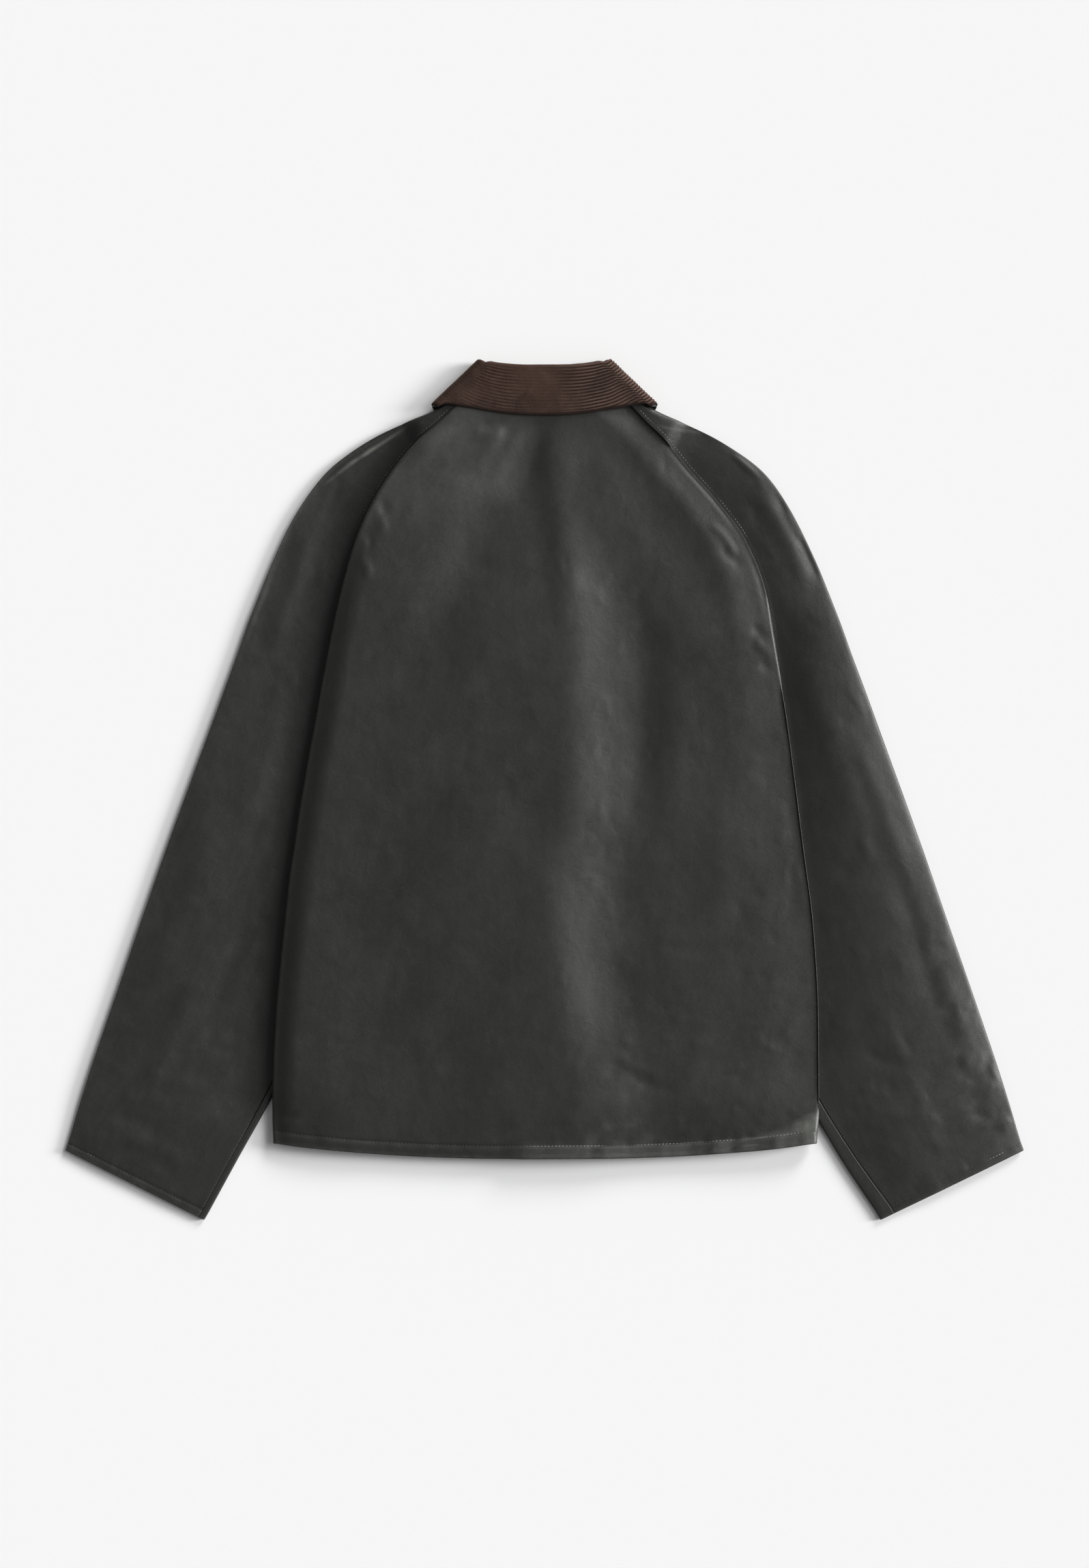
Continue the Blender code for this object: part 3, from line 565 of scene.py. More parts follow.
def raglan_rise(y):
    return RAGLAN_LIFT * smooth((y - 140) / 60) * smooth((352 - y) / 76)


def back_rows():
    upper = np.arange(BODY[0, 0], STITCH_Y + 3.4, -3.02)
    near = STITCH_Y + np.array([3.0, 1.9, 1.2, 0.6, 0.0, -0.6, -1.2, -1.9, -3.0, -4.4, -6.0, -7.6, -9.0, -10.0])
    return np.concatenate([upper, near, [BODY[-1, 0]]])


def back_grid(count=176, steps=6):
    rows = back_rows()
    left = curve(BODY[:, 0], BODY[:, 1], rows) + 0.45 * noise(rows, 0 * rows, 38, 51) * smooth((120 - rows) / 60)
    right = curve(BODY[:, 0], BODY[:, 2], rows) + 0.45 * noise(rows, 0 * rows, 31, 52) * smooth((120 - rows) / 60)
    turns = np.radians(np.linspace(84, 0, steps, endpoint=False))
    roll = 2.6 + 0.9 * smooth((120 - rows) / 60) - 0.6 * smooth((-290 - rows) / 25)
    inset = roll[:, None] * (1 - np.sin(turns))[None]
    bend = np.broadcast_to((1 - np.cos(turns))[None], inset.shape)
    start, stop = left + roll, right - roll
    flat = start[:, None] + (stop - start)[:, None] * np.linspace(0, 1, count)[None]
    x = np.concatenate([left[:, None] + inset, flat, right[:, None] - inset[:, ::-1]], axis=1)
    at = np.concatenate([np.repeat(start[:, None], steps, 1), flat, np.repeat(stop[:, None], steps, 1)], axis=1)
    drop = np.concatenate([bend, np.zeros_like(flat), bend[:, ::-1]], axis=1)
    y_side = np.broadcast_to(rows[:, None], x.shape)
    y = np.where(y_side < 300, hem_line(at, y_side), y_side)
    neck = 355.5 + 6.1 * np.minimum(1.0, np.abs(at) / 70.0) ** 2
    y = y - (BODY[0, 0] - neck) * smooth((y_side - 338.3) / 23.3)
    wave = 0.5 * noise(at, 0 * at, 44, 53) * smooth((-250 - y_side) / 70)
    y = y + wave
    z_top = back_height(at, y, y_side, left[:, None], right[:, None])
    z_top = z_top + hem_relief(at, y_side) * smooth((-290 - y_side) / 14)
    lower = STACK * sleeve_share(at, y) + collar_lift(at, y) + CLOTH / 2
    side_edge = (z_top + lower) / 2 + 0.1
    raglan_edge = TUBE + CLOTH / 2 + 0.30 + collar_lift(at, y) + neck_spread(at, y)
    raglan_edge = raglan_edge + raglan_rise(y_side) * (at > 0)
    edge_z = raglan_edge + (side_edge - raglan_edge) * smooth((128 - y_side) / 40)
    edge_z = np.minimum(edge_z, z_top - 0.05)
    near = np.where(at > 0, smooth((y_side - 150) / 50) * smooth((330 - y_side) / 26), 0.0)
    edge_z = edge_z + np.maximum(z_top - 0.8 - edge_z, 0) * near
    z = z_top - (z_top - edge_z) * drop
    grid = np.stack([x, y, z], axis=2)
    from_edge = np.minimum(x - left[:, None], right[:, None] - x)
    wear = np.clip(np.exp(-from_edge / 3.2) * (0.45 - 0.3 * smooth((at - 60) / 60) * smooth((120 - y_side) / 80)) + 0.6 * np.exp(-(((y_side - BODY[-1, 0]) / 1.8) ** 2)), 0, 1)
    off = y_side - STITCH_Y
    faded = 0.95 * smooth((at + 40) / 30) * smooth((2.4 - off) / 3.0)
    patch = smooth((at - 186) / 30) * smooth((17 + 0.30 * (at - 240) - off) / 7) * smooth(0.9 + noise(at, y_side, 12, 57))
    patches = smooth(0.42 + 1.3 * noise(at, 2 * y_side, 13, 58))
    worn_edge = np.maximum(faded, 0.95 * patch) * (0.05 + (0.13 + 0.34 * smooth((at - 90) / 130)) * patches + 0.17 * smooth((at - 206) / 26) + 0.10 * noise(at, y_side, 6, 61))
    # Pale blotches just above the hem, right of the middle.
    blotches = 0.17 * smooth(1.15 - np.abs(at - 84) / 62) * smooth((27 - off) / 12) * smooth(0.12 + 1.5 * noise(at, y_side, 12, 64))
    worn_edge = np.maximum(worn_edge, blotches)
    # Painted highlight: the upper left of the back, which faces the light, is painted paler.
    painted_highlight_upper_left = 0.19 * smooth((10 - at) / 46) * smooth((y_side - 205) / 100) * smooth((from_edge + 2) / 8) * (0.8 + 0.4 * fbm(at, y_side, 30, 59))
    global PALE_WEAR_AND_PAINTED_LIGHT
    # A faint pale tone over most of the back; the upper right is left without it, so it stays darker as painted shade.
    pale_tone_with_painted_shade = 0.036 * smooth((at + 90) / 80) * smooth((y_side + 300) / 40) * (1 + 0.6 * fbm(at, y_side, 60, 60))
    pale_tone_with_painted_shade = pale_tone_with_painted_shade * (1 - 0.9 * smooth((at - 60) / 45) * smooth((y_side - 190) / 70))
    PALE_WEAR_AND_PAINTED_LIGHT = np.clip(np.maximum(worn_edge, painted_highlight_upper_left + pale_tone_with_painted_shade), 0, 1)
    for side, column in ((-1, steps), (1, -steps - 1)):
        SEAM_TOP[side] = (rows[::-1], z_top[::-1, column])
    return grid, wear, rows


def build_back(material, thread):
    grid, wear, rows = back_grid()
    full = turned_in(grid, (0.0, -1.0, 0.0), np.array([0.0, 0.0, -1.0]), 0.62, 9.8)
    worn = np.concatenate([wear, np.repeat(wear[-1:], len(full) - len(grid), 0)])
    # Columns run towards +X and rows towards -Y, so the outer side is found by turning them.
    faded = np.concatenate([PALE_WEAR_AND_PAINTED_LIGHT, np.repeat(PALE_WEAR_AND_PAINTED_LIGHT[-1:], len(full) - len(grid), 0)])
    piece = shell("cloth_back", full[:, ::-1], CLOTH, material, attributes={"wear": worn[:, ::-1], "faded": faded[:, ::-1]})
    at_stitch = float(np.interp(-STITCH_Y, -rows, np.arange(len(rows))))
    columns = np.linspace(8, grid.shape[1] - 9, 900)
    flipped = grid[:, ::-1]
    points, normals = on_sheet(flipped, np.full_like(columns, at_stitch), columns, CLOTH / 2)
    stitches("stitching_hem_back", [(points, normals)], thread, pale=lambda x, y: 0.75 * smooth((x + 40) / 60) * smooth(0.5 + noise(x, y, 17, 81)))
    return piece, grid


# ---------------------------------------------------------------- fronts


def neck_line(x):
    rows = sorted((abs(row[4]), row[5]) for row in COLLAR_FRONT)
    return np.interp(np.abs(x), [r[0] for r in rows], [r[1] for r in rows])


def front_grid(side, count=54, steps=6):
    column = 1 if side < 0 else 2
    past = FLY_PAST if side < 0 else FLY_UNDER
    table = [(row[0], row[column] - side * (SEAM + 0.5) / 2, row[3]) for row in FRONT_SEAM]
    table += [(row[0], row[column], row[0]) for row in BODY[FRONT_SIDE_FROM:]]
    table = np.array(table)
    number = np.arange(len(table))
    fine = np.concatenate([np.linspace(0, 8, 50, endpoint=False), np.linspace(8, len(table) - 1, 96)])
    y_side, x_side = curve(number, table[:, 0], fine), curve(number, table[:, 1], fine)
    y_middle = curve(number, table[:, 2], fine)
    angle = 5.0 + 79.0 * smooth((fine - 7.2) / 1.0)
    roll = 2.0 + 1.3 * smooth((120 - y_side) / 60) - 0.6 * smooth((-290 - y_side) / 25)
    turns = np.radians(angle[:, None] * np.linspace(1, 0, steps, endpoint=False)[None])
    inset, bend = roll[:, None] * (np.sin(np.radians(angle))[:, None] - np.sin(turns)), 1 - np.cos(turns)
    start = x_side - side * roll * np.sin(np.radians(angle))
    flat = start[:, None] + (-side * past - start)[:, None] * np.linspace(0, 1, count)[None]
    x = np.concatenate([x_side[:, None] - side * inset, flat], axis=1)
    at = np.concatenate([np.repeat(start[:, None], steps, 1), flat], axis=1)
    rise = np.concatenate([bend, np.zeros_like(flat)], axis=1)
    share = np.where(at * side > 0, np.minimum(1.0, np.abs(at) / np.abs(start[:, None])), 0.0)
    fine2, ys, ym = fine[:, None], y_side[:, None], y_middle[:, None]
    neck = neck_line(at) - SEAM * 2
    first = neck_line(at) - (neck_line(start)[:, None] - ys)
    level = ym + (ys - ym) * share
    y = level + (first - level) * 0.35 * smooth(1 - fine2 / 5)
    y = ys + (y - ys) * smooth((1 - share) * 6)
    y = neck + (y - neck) * smooth(fine2 / 1.0)
    y = y + (hem_line(at, ys) - y) * smooth(fine2 - 7)
    lapped = smooth((46 - x * side) / 20) if side > 0 else 0.0 * x
    lower = STACK * sleeve_share(at, y) + collar_lift(at, y, 10 * lapped) + CLOTH / 2 + FLY_STEP * lapped
    relief = folds(at, y, FRONT_FOLDS) + 0.30 * np.maximum(0, fbm(x, y, 34, 91)) + 0.15 * np.maximum(0, fbm(x, y, 13, 95))
    lower = lower + relief * smooth((300 - y) / 40) * smooth((y + 318) / 30) * (1 - 0.8 * lapped)
    top = back_height_plain(at, y, side)
    middle = (lower + top) / 2 - 0.1
    z = lower + np.where(fine2 > 7.0, (middle - lower) * rise * smooth(fine2 - 7.0), 0.1 * rise)
    grid = np.stack([x, y, z], axis=2)
    from_edge = (x_side[:, None] - x) * side
    wear = np.clip(np.exp(-np.abs(from_edge) / 3.0) * (0.55 if side < 0 else 0.10), 0, 1)
    return grid, wear, y_side


def back_height_plain(x, y, side):
    """The back's height at its side edge, without its folds."""
    height = STACK * sleeve_share(x, y, 36, 92) + collar_lift(x, y, 26) + WALL + AIR + WALL - CLOTH / 2
    return height + SIDE_PUFF * smooth((150 - y) / 70) * smooth((y + 322) / 50)


def build_front(side, label, material, thread):
    grid, wear, y_side = front_grid(side)
    full = turned_in(grid, (0.0, -1.0, 0.0), np.array([0.0, 0.0, 1.0]), 0.62, 9.8)
    worn = np.concatenate([wear, np.repeat(wear[-1:], len(full) - len(grid), 0)])
    if side < 0:  # the outer side of a front faces down
        use, worn, plain = full, worn, grid
    else:
        use, worn, plain = full[:, ::-1], worn[:, ::-1], grid[:, ::-1]
    # Left: columns run from the side edge to +X. Right: they run to -X before they are turned.
    piece = shell(f"cloth_front_{label}", use, CLOTH, material, attributes={"wear": worn})
    row = float(np.interp(-STITCH_Y, -y_side, np.arange(len(y_side))))
    columns = np.linspace(7, plain.shape[1] - 2, 420)
    points, normals = on_sheet(plain, np.full_like(columns, row), columns, CLOTH / 2 - 0.35)
    stitches(f"stitching_hem_front_{label}", [(points, normals)], thread)
    return piece, grid


# ---------------------------------------------------------------- sleeves


def sleeve_lines(side, half):
    """Ends of each section of a half sleeve at its table rows."""
    column = 1 if side < 0 else 2
    outer, inner, start = [], [], []
    for number, (ox, oy, iy, left, right, hook, *strips) in enumerate(SLEEVE):
        strip = strips[0 if side < 0 else 1]
        table = BODY if half == "back" else FRONT_SEAM
        if number < RAGLAN_ROWS:
            q = np.array([table[number][column], table[number][0]])
        else:
            q = np.array([side * (left if side < 0 else right), iy])
        o = np.array([side * ox, oy])
        unit = (o - q) / np.linalg.norm(o - q)
        if half == "back":
            if number < RAGLAN_ROWS:
                s = q - unit * (-SEAM + (4.0 + SEAM) * float(smooth((316 - q[1]) / 24)))
            else:
                s = q + unit * (TUBE / 2 + strip + SEAM + 4.0 * float(smooth((q[1] + 40) / 60)))
        else:
            s = q + unit * ((SEAM + 0.5) / 2 if number < RAGLAN_ROWS else 0.0)
        outer.append(o), inner.append(q), start.append(s)
    return np.array(outer), np.array(inner), np.array(start)


def sleeve_rows(spacing):
    """Fractional table rows that lie evenly along the overarm fold, closer at the cuff."""
    number = np.arange(len(SLEEVE))
    fine = np.linspace(0, len(SLEEVE) - 1, 600)
    x, y = curve(number, SLEEVE[:, 0], fine), curve(number, SLEEVE[:, 1], fine)
    at = np.concatenate([[0], np.cumsum(np.hypot(np.diff(x), np.diff(y)))])
    total = at[-1]
    wanted = np.concatenate([np.arange(0, total - 10, spacing), total - np.array([8.6, 7.4, 6.6, 6.1, 5.6, 5.1, 4.6, 3.8, 2.6, 1.4, 0.0])])
    return np.interp(wanted, at, fine), total - wanted


def lines_at(points, t):
    number = np.arange(len(points))
    return np.stack([curve(number, points[:, k], t) for k in (0, 1)], axis=1)


def overarm_rise(seen, to_cuff, outer_x):
    """How much higher than the CAD's the overarm fold is, where the sleeve is free."""
    shoulder = 2.4 * np.exp(-(((np.abs(outer_x) - 146) / 24) ** 2))
    return EDGE_UP * smooth((seen - 16) / 50) * (0.6 + 0.4 * smooth((to_cuff - 6) / 60)) + shoulder


def sleeve_back_grid(side, count=64, arc=22):
    outer, inner, start = sleeve_lines(side, "back")
    t, to_cuff = sleeve_rows(3.6)
    o, s = lines_at(outer, t), lines_at(start, t)
    wave = 0.5 * noise(t * 30, 0 * t, 34, 61 + side)
    unit = (o - s) / np.linalg.norm(o - s, axis=1, keepdims=True)
    o = o + unit * wave[:, None]
    body_x = body_edge(side, s[:, 1])
    length = np.linalg.norm(o - s, axis=1)
    # Where the body's edge crosses each section, measured from the section's start.
    shares = np.linspace(0, 1, 60)
    px = s[:, 0][:, None] + (o - s)[:, 0][:, None] * shares[None]
    py = s[:, 1][:, None] + (o - s)[:, 1][:, None] * shares[None]
    over = (px - body_edge(side, py)) * side
    over = np.where(py < -326, 1.0, over)
    crossing = np.array([np.interp(0.0, row, shares) if row[0] < 0 else 0.0 for row in over]) * length
    seen = length - crossing
    zone = (0.37 if side > 0 else 0.25) * seen
    crown = (CROWN if side > 0 else 0.24 * CROWN) * smooth((seen - 20) / 70) * (1 - 0.55 * smooth((90 - to_cuff) / 90))
    phi = np.radians(np.linspace(0, 86, arc))
    power = 2.06 if side > 0 else 2.3
    back_off = 1 - np.sin(phi) ** (2 / power)  # share of the zone, measured from the fold
    fall = np.cos(phi) ** (2 / power)
    flat = np.concatenate([[0.0, 0.003, 0.009], np.linspace(0, 1, count - 2, endpoint=False)[1:]])
    d = np.concatenate([flat[None] * (length - zone)[:, None], length[:, None] - back_off[None] * zone[:, None]], axis=1)
    x = s[:, 0][:, None] + unit[:, 0][:, None] * d
    y = s[:, 1][:, None] + unit[:, 1][:, None] * d
    past_body = d - crossing[:, None]
    open_arm = smooth((-286 - s[:, 1]) / 40)[:, None]
    climb = np.clip((past_body - (3 if side > 0 else 9)) / ((0.62 if side > 0 else 0.5) * seen[:, None]), 0, 1)
    valley = np.sin(climb * np.pi / 2) ** 1.25 * (1 - open_arm) + smooth((past_body + 2) / (0.40 * seen[:, None])) * open_arm
    low = VALLEY_DEPTH * smooth((past_body + 14) / 12) * (1 - open_arm) * smooth((seen[:, None] - 12) / 30)
    if side < 0:
        closed = smooth((past_body - 2) / 96)
        valley = valley * open_arm + closed * (1 - open_arm)
        low = 1.15 * low
    plate = TUBE - CLOTH / 2 - low * (1 - valley) + crown[:, None] * valley
    shape = np.concatenate([np.ones((len(t), count)), np.repeat(fall[None], len(t), 0)], axis=1)
    if side > 0:
        plate = plate + low * (1 - valley) * smooth((s[:, 1] - 150) / 50)[:, None]
    edge_z = TUBE / 2 + 0.1 + overarm_rise(seen, to_cuff, o[:, 0])[:, None]
    z = edge_z + (plate - edge_z) * shape
    spread = neck_spread(x, y)
    z = z + collar_lift(x, y) + spread * (0.5 + 0.5 * shape)
    sewn = np.interp(s[:, 1], *SEAM_TOP[side]) - 1.85
    at_seam = np.array([np.interp(cross, places, heights) for cross, places, heights in zip(crossing, d, z)])
    climbs = np.clip(sewn - at_seam, 0, 9.5) * smooth((seen - 5) / 14)
    climbs = climbs * (smooth((s[:, 1] - 118) / 60) * smooth((326 - s[:, 1]) / 30) if side > 0 else 0.0)
    away = np.minimum((74.0 if side > 0 else 46.0) * smooth((seen + 6) / 40), 0.94 * seen)
    z = z + climbs[:, None] * smooth(1 - np.maximum(past_body - 1, 0) / away[:, None]) ** (1.0 if side > 0 else 1.15)
    free = smooth((past_body - 3) / 14) * smooth((1 - (d / length[:, None])) * length[:, None] / 6)
    mine = [row[1:] for row in SLEEVE_FOLDS if row[0] == side]
    relief = SLEEVE_RELIEF * folds(x, y, mine) + 1.3 * crumples(x, y, SLEEVE_CRUMPLES) + 0.24 * fbm(x, y, 44, 21 + side) + 0.10 * fbm(x, y, 14, 27 + side)
    z = z + relief * free
    z = z - 0.5 * np.exp(-((d / 0.9) ** 2)) * smooth((-250 - s[:, 1]) / 20)[:, None]
    cuff = to_cuff[:, None] - CUFF_DEPTH
    pucker = noise(d, 0 * d, 6.0, 75 + side) * 0.22 + noise(d, 0 * d, 13.0, 77 + side) * 0.24
    z = z - 0.42 * np.exp(-((cuff / 1.3) ** 2)) + pucker * np.exp(-((cuff / 6.0) ** 2)) * free
    grid = np.stack([x, y, z], axis=2)
    wear = 0.75 * np.exp(-((to_cuff / 1.6) ** 2))[:, None] + 0.5 * np.exp(-((length[:, None] - d) / 3.0))
    return grid, np.clip(wear, 0, 1), t, to_cuff, crossing, length, s, unit


def sleeve_painted_highlights(side, grid, past, length):
    """Painted highlights in pale wax colour: along a shoulder crease of each sleeve, and on the right sleeve paler
    towards its fold, which faces the light.
    """
    x, y = grid[..., 0], grid[..., 1]
    if side < 0:
        line = [(-122, 338), (-136, 328), (-156, 315), (-180, 299), (-208, 277)]
        return np.clip(0.85 * crease(x, y, 1.0, 1.9, 1.4, line) * (0.8 + 0.5 * noise(x, y, 8, 62)), 0, 1)
    line = [(98, 336), (114, 332.5), (132, 330.5), (152, 328)]
    outer = smooth((past - 34) / 110)
    low = 0.12 * smooth((outer - 0.45) / 0.5) * smooth(0.25 + fbm(x, y, 17, 63)) * smooth((60 - y) / 120)
    return np.clip(0.32 * crease(x, y, 1.0, 1.4, 1.2, line) + 0.075 * smooth(past / 60) * smooth((140 - y) / 80) + low, 0, 1)


def build_sleeve_back(side, label, material, thread):
    grid, wear, t, to_cuff, crossing, length, s, unit = sleeve_back_grid(side)
    away = grid[-1] - grid[-4]
    away[:, 2] = 0
    away /= np.linalg.norm(away, axis=1, keepdims=True)
    full = turned_in(grid, away, np.array([0.0, 0.0, -1.0]), 0.6, 5.0)
    worn = np.concatenate([wear, np.repeat(wear[-1:], len(full) - len(grid), 0)])
    flip = side > 0
    use, worn, plain = (full[:, ::-1], worn[:, ::-1], grid[:, ::-1]) if flip else (full, worn, grid)
    # Painted shade: the base colour is darkened in the fold beside the body, where the body's shadow falls, most on
    # the wearer's left.
    past = np.linalg.norm(grid[:, :, :2] - s[:, None, :], axis=2) - crossing[:, None]
    oily = smooth(1 - (past - 6) / (22 if side < 0 else 12)) * smooth((s[:, 1:2] + 300) / 60) * (1.0 if side < 0 else 0.3)
    # Painted highlights: pale colour along the shoulder creases and towards the right sleeve's fold.
    faded = sleeve_painted_highlights(side, grid, past, length)
    seen = {}
    for key, values in (("oily", oily), ("faded", faded)):
        values = np.concatenate([values, np.repeat(values[-1:], len(full) - len(grid), 0)])
        seen[key] = values[:, ::-1] if flip else values
    piece = shell(f"cloth_sleeve_{label}_back", use, CLOTH, material, attributes={"wear": worn, **seen})
    columns = grid.shape[1]
    order = (lambda c: columns - 1 - c) if flip else (lambda c: c)
    # Distance along each section to a column number, by the grid's own points.
    d = np.linalg.norm(grid[:, :, :2] - s[:, None, :], axis=2)

    def column_at(row, distance):
        return np.interp(distance, d[row], np.arange(columns))

    runs = []
    row_cuff = float(np.interp(-CUFF_DEPTH, -to_cuff, np.arange(len(to_cuff))))
    c = np.linspace(2, columns - 4, 300)
    runs.append(on_sheet(plain, np.full_like(c, row_cuff), order(c), CLOTH / 2))
    rows = [r for r in range(len(t)) if 0.5 < t[r] < 7.0]
    at = np.array([column_at(r, crossing[r] + 2.9) for r in rows])
    runs.append(on_sheet(plain, np.array(rows, float), order(at), CLOTH / 2))
    rows = [r for r in range(len(t)) if s[r, 1] < -262 and to_cuff[r] > 1.0]
    at = np.array([column_at(r, 1.9) for r in rows])
    runs.append(on_sheet(plain, np.array(rows, float), order(at), CLOTH / 2))
    def pale(x, y):
        near_fold = smooth((np.abs(x) - 404) / 16) if side > 0 else smooth((np.abs(x) - 412) / 16)
        raglan = smooth((y - 215) / 30) * (0.5 if side > 0 else 0.15)
        return np.maximum(near_fold, raglan) * smooth(0.62 + 0.9 * noise(x, y, 9, 83))

    stitches(f"stitching_sleeve_{label}", runs, thread, pitch=3.1, length=2.1, pale=pale)
    return piece, grid


def sleeve_front_grid(side, count=40, arc=6, hook_steps=9):
    outer, inner, start = sleeve_lines(side, "front")
    t, to_cuff = sleeve_rows(5.0)
    o, q = lines_at(outer, t), lines_at(start, t)
    wave = 0.5 * noise(t * 30, 0 * t, 34, 61 + side)
    unit = (o - q) / np.linalg.norm(o - q, axis=1, keepdims=True)
    o = o + unit * wave[:, None]
    number = np.arange(len(SLEEVE))
    hook = np.radians(np.clip(curve(number, SLEEVE[:, 5], t), 0, 180))
    strip = curve(number, SLEEVE[:, 6 if side < 0 else 7], t)
    radius = (TUBE - CLOTH) / 2
    turn = hook[:, None] * np.linspace(1, 0, hook_steps, endpoint=False)[None]
    reach = radius * np.sin(np.minimum(hook, np.pi / 2)) + CLOTH / 2 * np.sin(np.minimum(hook, np.pi / 2))
    hooked = reach[:, None] - radius * np.sin(turn)
    up = radius * (1 - np.cos(turn))
    tip = hooked[:, :1] - (strip * np.cos(hook))[:, None] * np.array([[1.0, 0.95, 0.85, 0.45]])
    tip_up = up[:, :1] + (strip * np.sin(hook))[:, None] * np.array([[1.0, 0.95, 0.85, 0.45]])
    length = np.linalg.norm(o - q, axis=1)
    a = 5.0 * smooth((length - 8) / 40) + 1.2
    phi = np.radians(np.linspace(0, 86, arc + 1)[1:])
    begin = reach
    flat = begin[:, None] + (length - a - begin)[:, None] * np.linspace(0, 1, count)[None]
    end = length[:, None] - a[:, None] * (1 - np.sin(phi))[None]
    d = np.concatenate([tip, hooked, flat, end], axis=1)
    rise = np.concatenate([tip_up, up, np.zeros_like(flat), (TUBE / 2 - 0.1 - CLOTH / 2) * (1 - np.cos(phi))[None] + 0 * end], axis=1)
    x = q[:, 0][:, None] + unit[:, 0][:, None] * d
    y = q[:, 1][:, None] + unit[:, 1][:, None] * d
    past = np.abs(o[:, 0]) - np.abs(body_edge(side, q[:, 1]))
    seen = np.where(q[:, 1] < -326, length, np.minimum(length, past * 1.02))
    extra = overarm_rise(seen, to_cuff, o[:, 0])[:, None] * (1 - np.cos(phi))[None]
    rise[:, -arc:] += extra
    edge_share = np.concatenate([np.zeros_like(tip), np.zeros_like(hooked), np.zeros_like(flat), (1 - np.cos(phi))[None] + 0 * end], axis=1)
    z = CLOTH / 2 + rise + collar_lift(x, y) + 0.5 * neck_spread(x, y) * edge_share
    flat_part = np.concatenate([np.zeros_like(tip), np.zeros_like(hooked), smooth(np.linspace(0, 6, count))[None] + 0 * flat, np.zeros_like(end)], axis=1)
    free = smooth((np.abs(x) - np.abs(body_edge(side, y)) - 4) / 20)
    free = np.maximum(free, smooth((-330 - y) / 20)) * flat_part
    z = z + free * (folds(x, y, FRONT_FOLDS) + 0.30 * np.maximum(0, fbm(x, y, 30, 96 + side)))
    grid = np.stack([x, y, z], axis=2)
    wear = 0.7 * np.exp(-((to_cuff / 1.6) ** 2))[:, None] + 0.4 * np.exp(-((length[:, None] - d) / 3.0))
    return grid, np.clip(wear, 0, 1), to_cuff


def build_sleeve_front(side, label, material, thread):
    grid, wear, to_cuff = sleeve_front_grid(side)
    away = grid[-1] - grid[-4]
    away[:, 2] = 0
    away /= np.linalg.norm(away, axis=1, keepdims=True)
    # Round the underarm fold the hem turns towards the middle of the tube.
    across = np.gradient(grid[-1], axis=0)
    across /= np.linalg.norm(across, axis=1, keepdims=True)
    up = np.cross(across, away) * (-1 if side < 0 else 1)
    up[:, :] *= np.sign(up[len(up) // 2, 2])
    full = turned_in(grid, away, up, 0.6, 5.0)
    worn = np.concatenate([wear, np.repeat(wear[-1:], len(full) - len(grid), 0)])
    use, worn = (full, worn) if side > 0 else (full[:, ::-1], worn[:, ::-1])
    return shell(f"cloth_sleeve_{label}_front", use, CLOTH, material, attributes={"wear": worn}), grid


# ---------------------------------------------------------------- collar


def collar_stations(counts=(22, 22, 44)):
    """Edge, roll and neck points, outward direction and angle of each section."""
    half = np.array([*reversed(COLLAR_FRONT), COLLAR_FOLD, *reversed(COLLAR_BACK)])
    whole = np.concatenate([half, (half[:-1] * np.array([-1, 1, -1, 1, -1, 1]))[::-1]])
    number = np.arange(len(whole))
    s = np.concatenate([
        np.linspace(0, 3.55, counts[0], endpoint=False),
        np.linspace(3.55, 4.45, counts[1], endpoint=False),
        np.linspace(4.45, 9, counts[2], endpoint=False),
    ])
    s = np.concatenate([s, [9.0], 18 - s[::-1]])
    values = np.stack([curve(number, whole[:, k], s) for k in range(6)], axis=1)
    folded = np.where(s <= 9, s, 18 - s)
    angle = np.radians(-90 + 180 * smooth((folded - 3.55) / 0.9))
    line = np.array(COLLAR_FOLD[2:4]) - np.array(COLLAR_FOLD[0:2])
    line = line / np.linalg.norm(line)
    outward = np.where((s <= 9)[:, None], np.array([[-line[1], line[0]]]), np.array([[line[1], line[0]]]))
    return values[:, 0:2], values[:, 2:4], values[:, 4:6], outward, angle, folded


def collar_grid(roll_radius, fall, stand, roll_steps, edge_back, neck_back, roll_back, counts):
    e, r, n, outward, angle, folded = collar_stations(counts)
    middle = 2.05 * COLLAR_PITCH
    unit = lambda v: v / np.linalg.norm(v, axis=1, keepdims=True)
    up = unit(r - e)
    centre = r - up * roll_back
    back = edge_back(folded)[:, None] if callable(edge_back) else edge_back
    tip = e + up * back
    foot = n - unit(n - centre) * neck_back
    plan, reach = [], []
    for share in np.linspace(0, 1, fall):
        plan.append(tip + (centre - tip) * share)
        reach.append(middle + roll_radius)
    for step in range(1, roll_steps):
        turned = math.pi * step / roll_steps
        plan.append(centre + up * roll_radius * math.sin(turned))
        reach.append(middle + roll_radius * math.cos(turned))
    for share in np.linspace(0, 1, stand):
        plan.append(centre + (foot - centre) * share)
        reach.append(middle - roll_radius)
    plan, reach = np.stack(plan, axis=1), np.array(reach)[None, :, None]
    moved = plan + outward[:, None, :] * reach * np.cos(angle)[:, None, None]
    z = COLLAR_MID + reach[..., 0] * np.sin(angle)[:, None]
    return np.concatenate([moved, z[..., None]], axis=2), folded


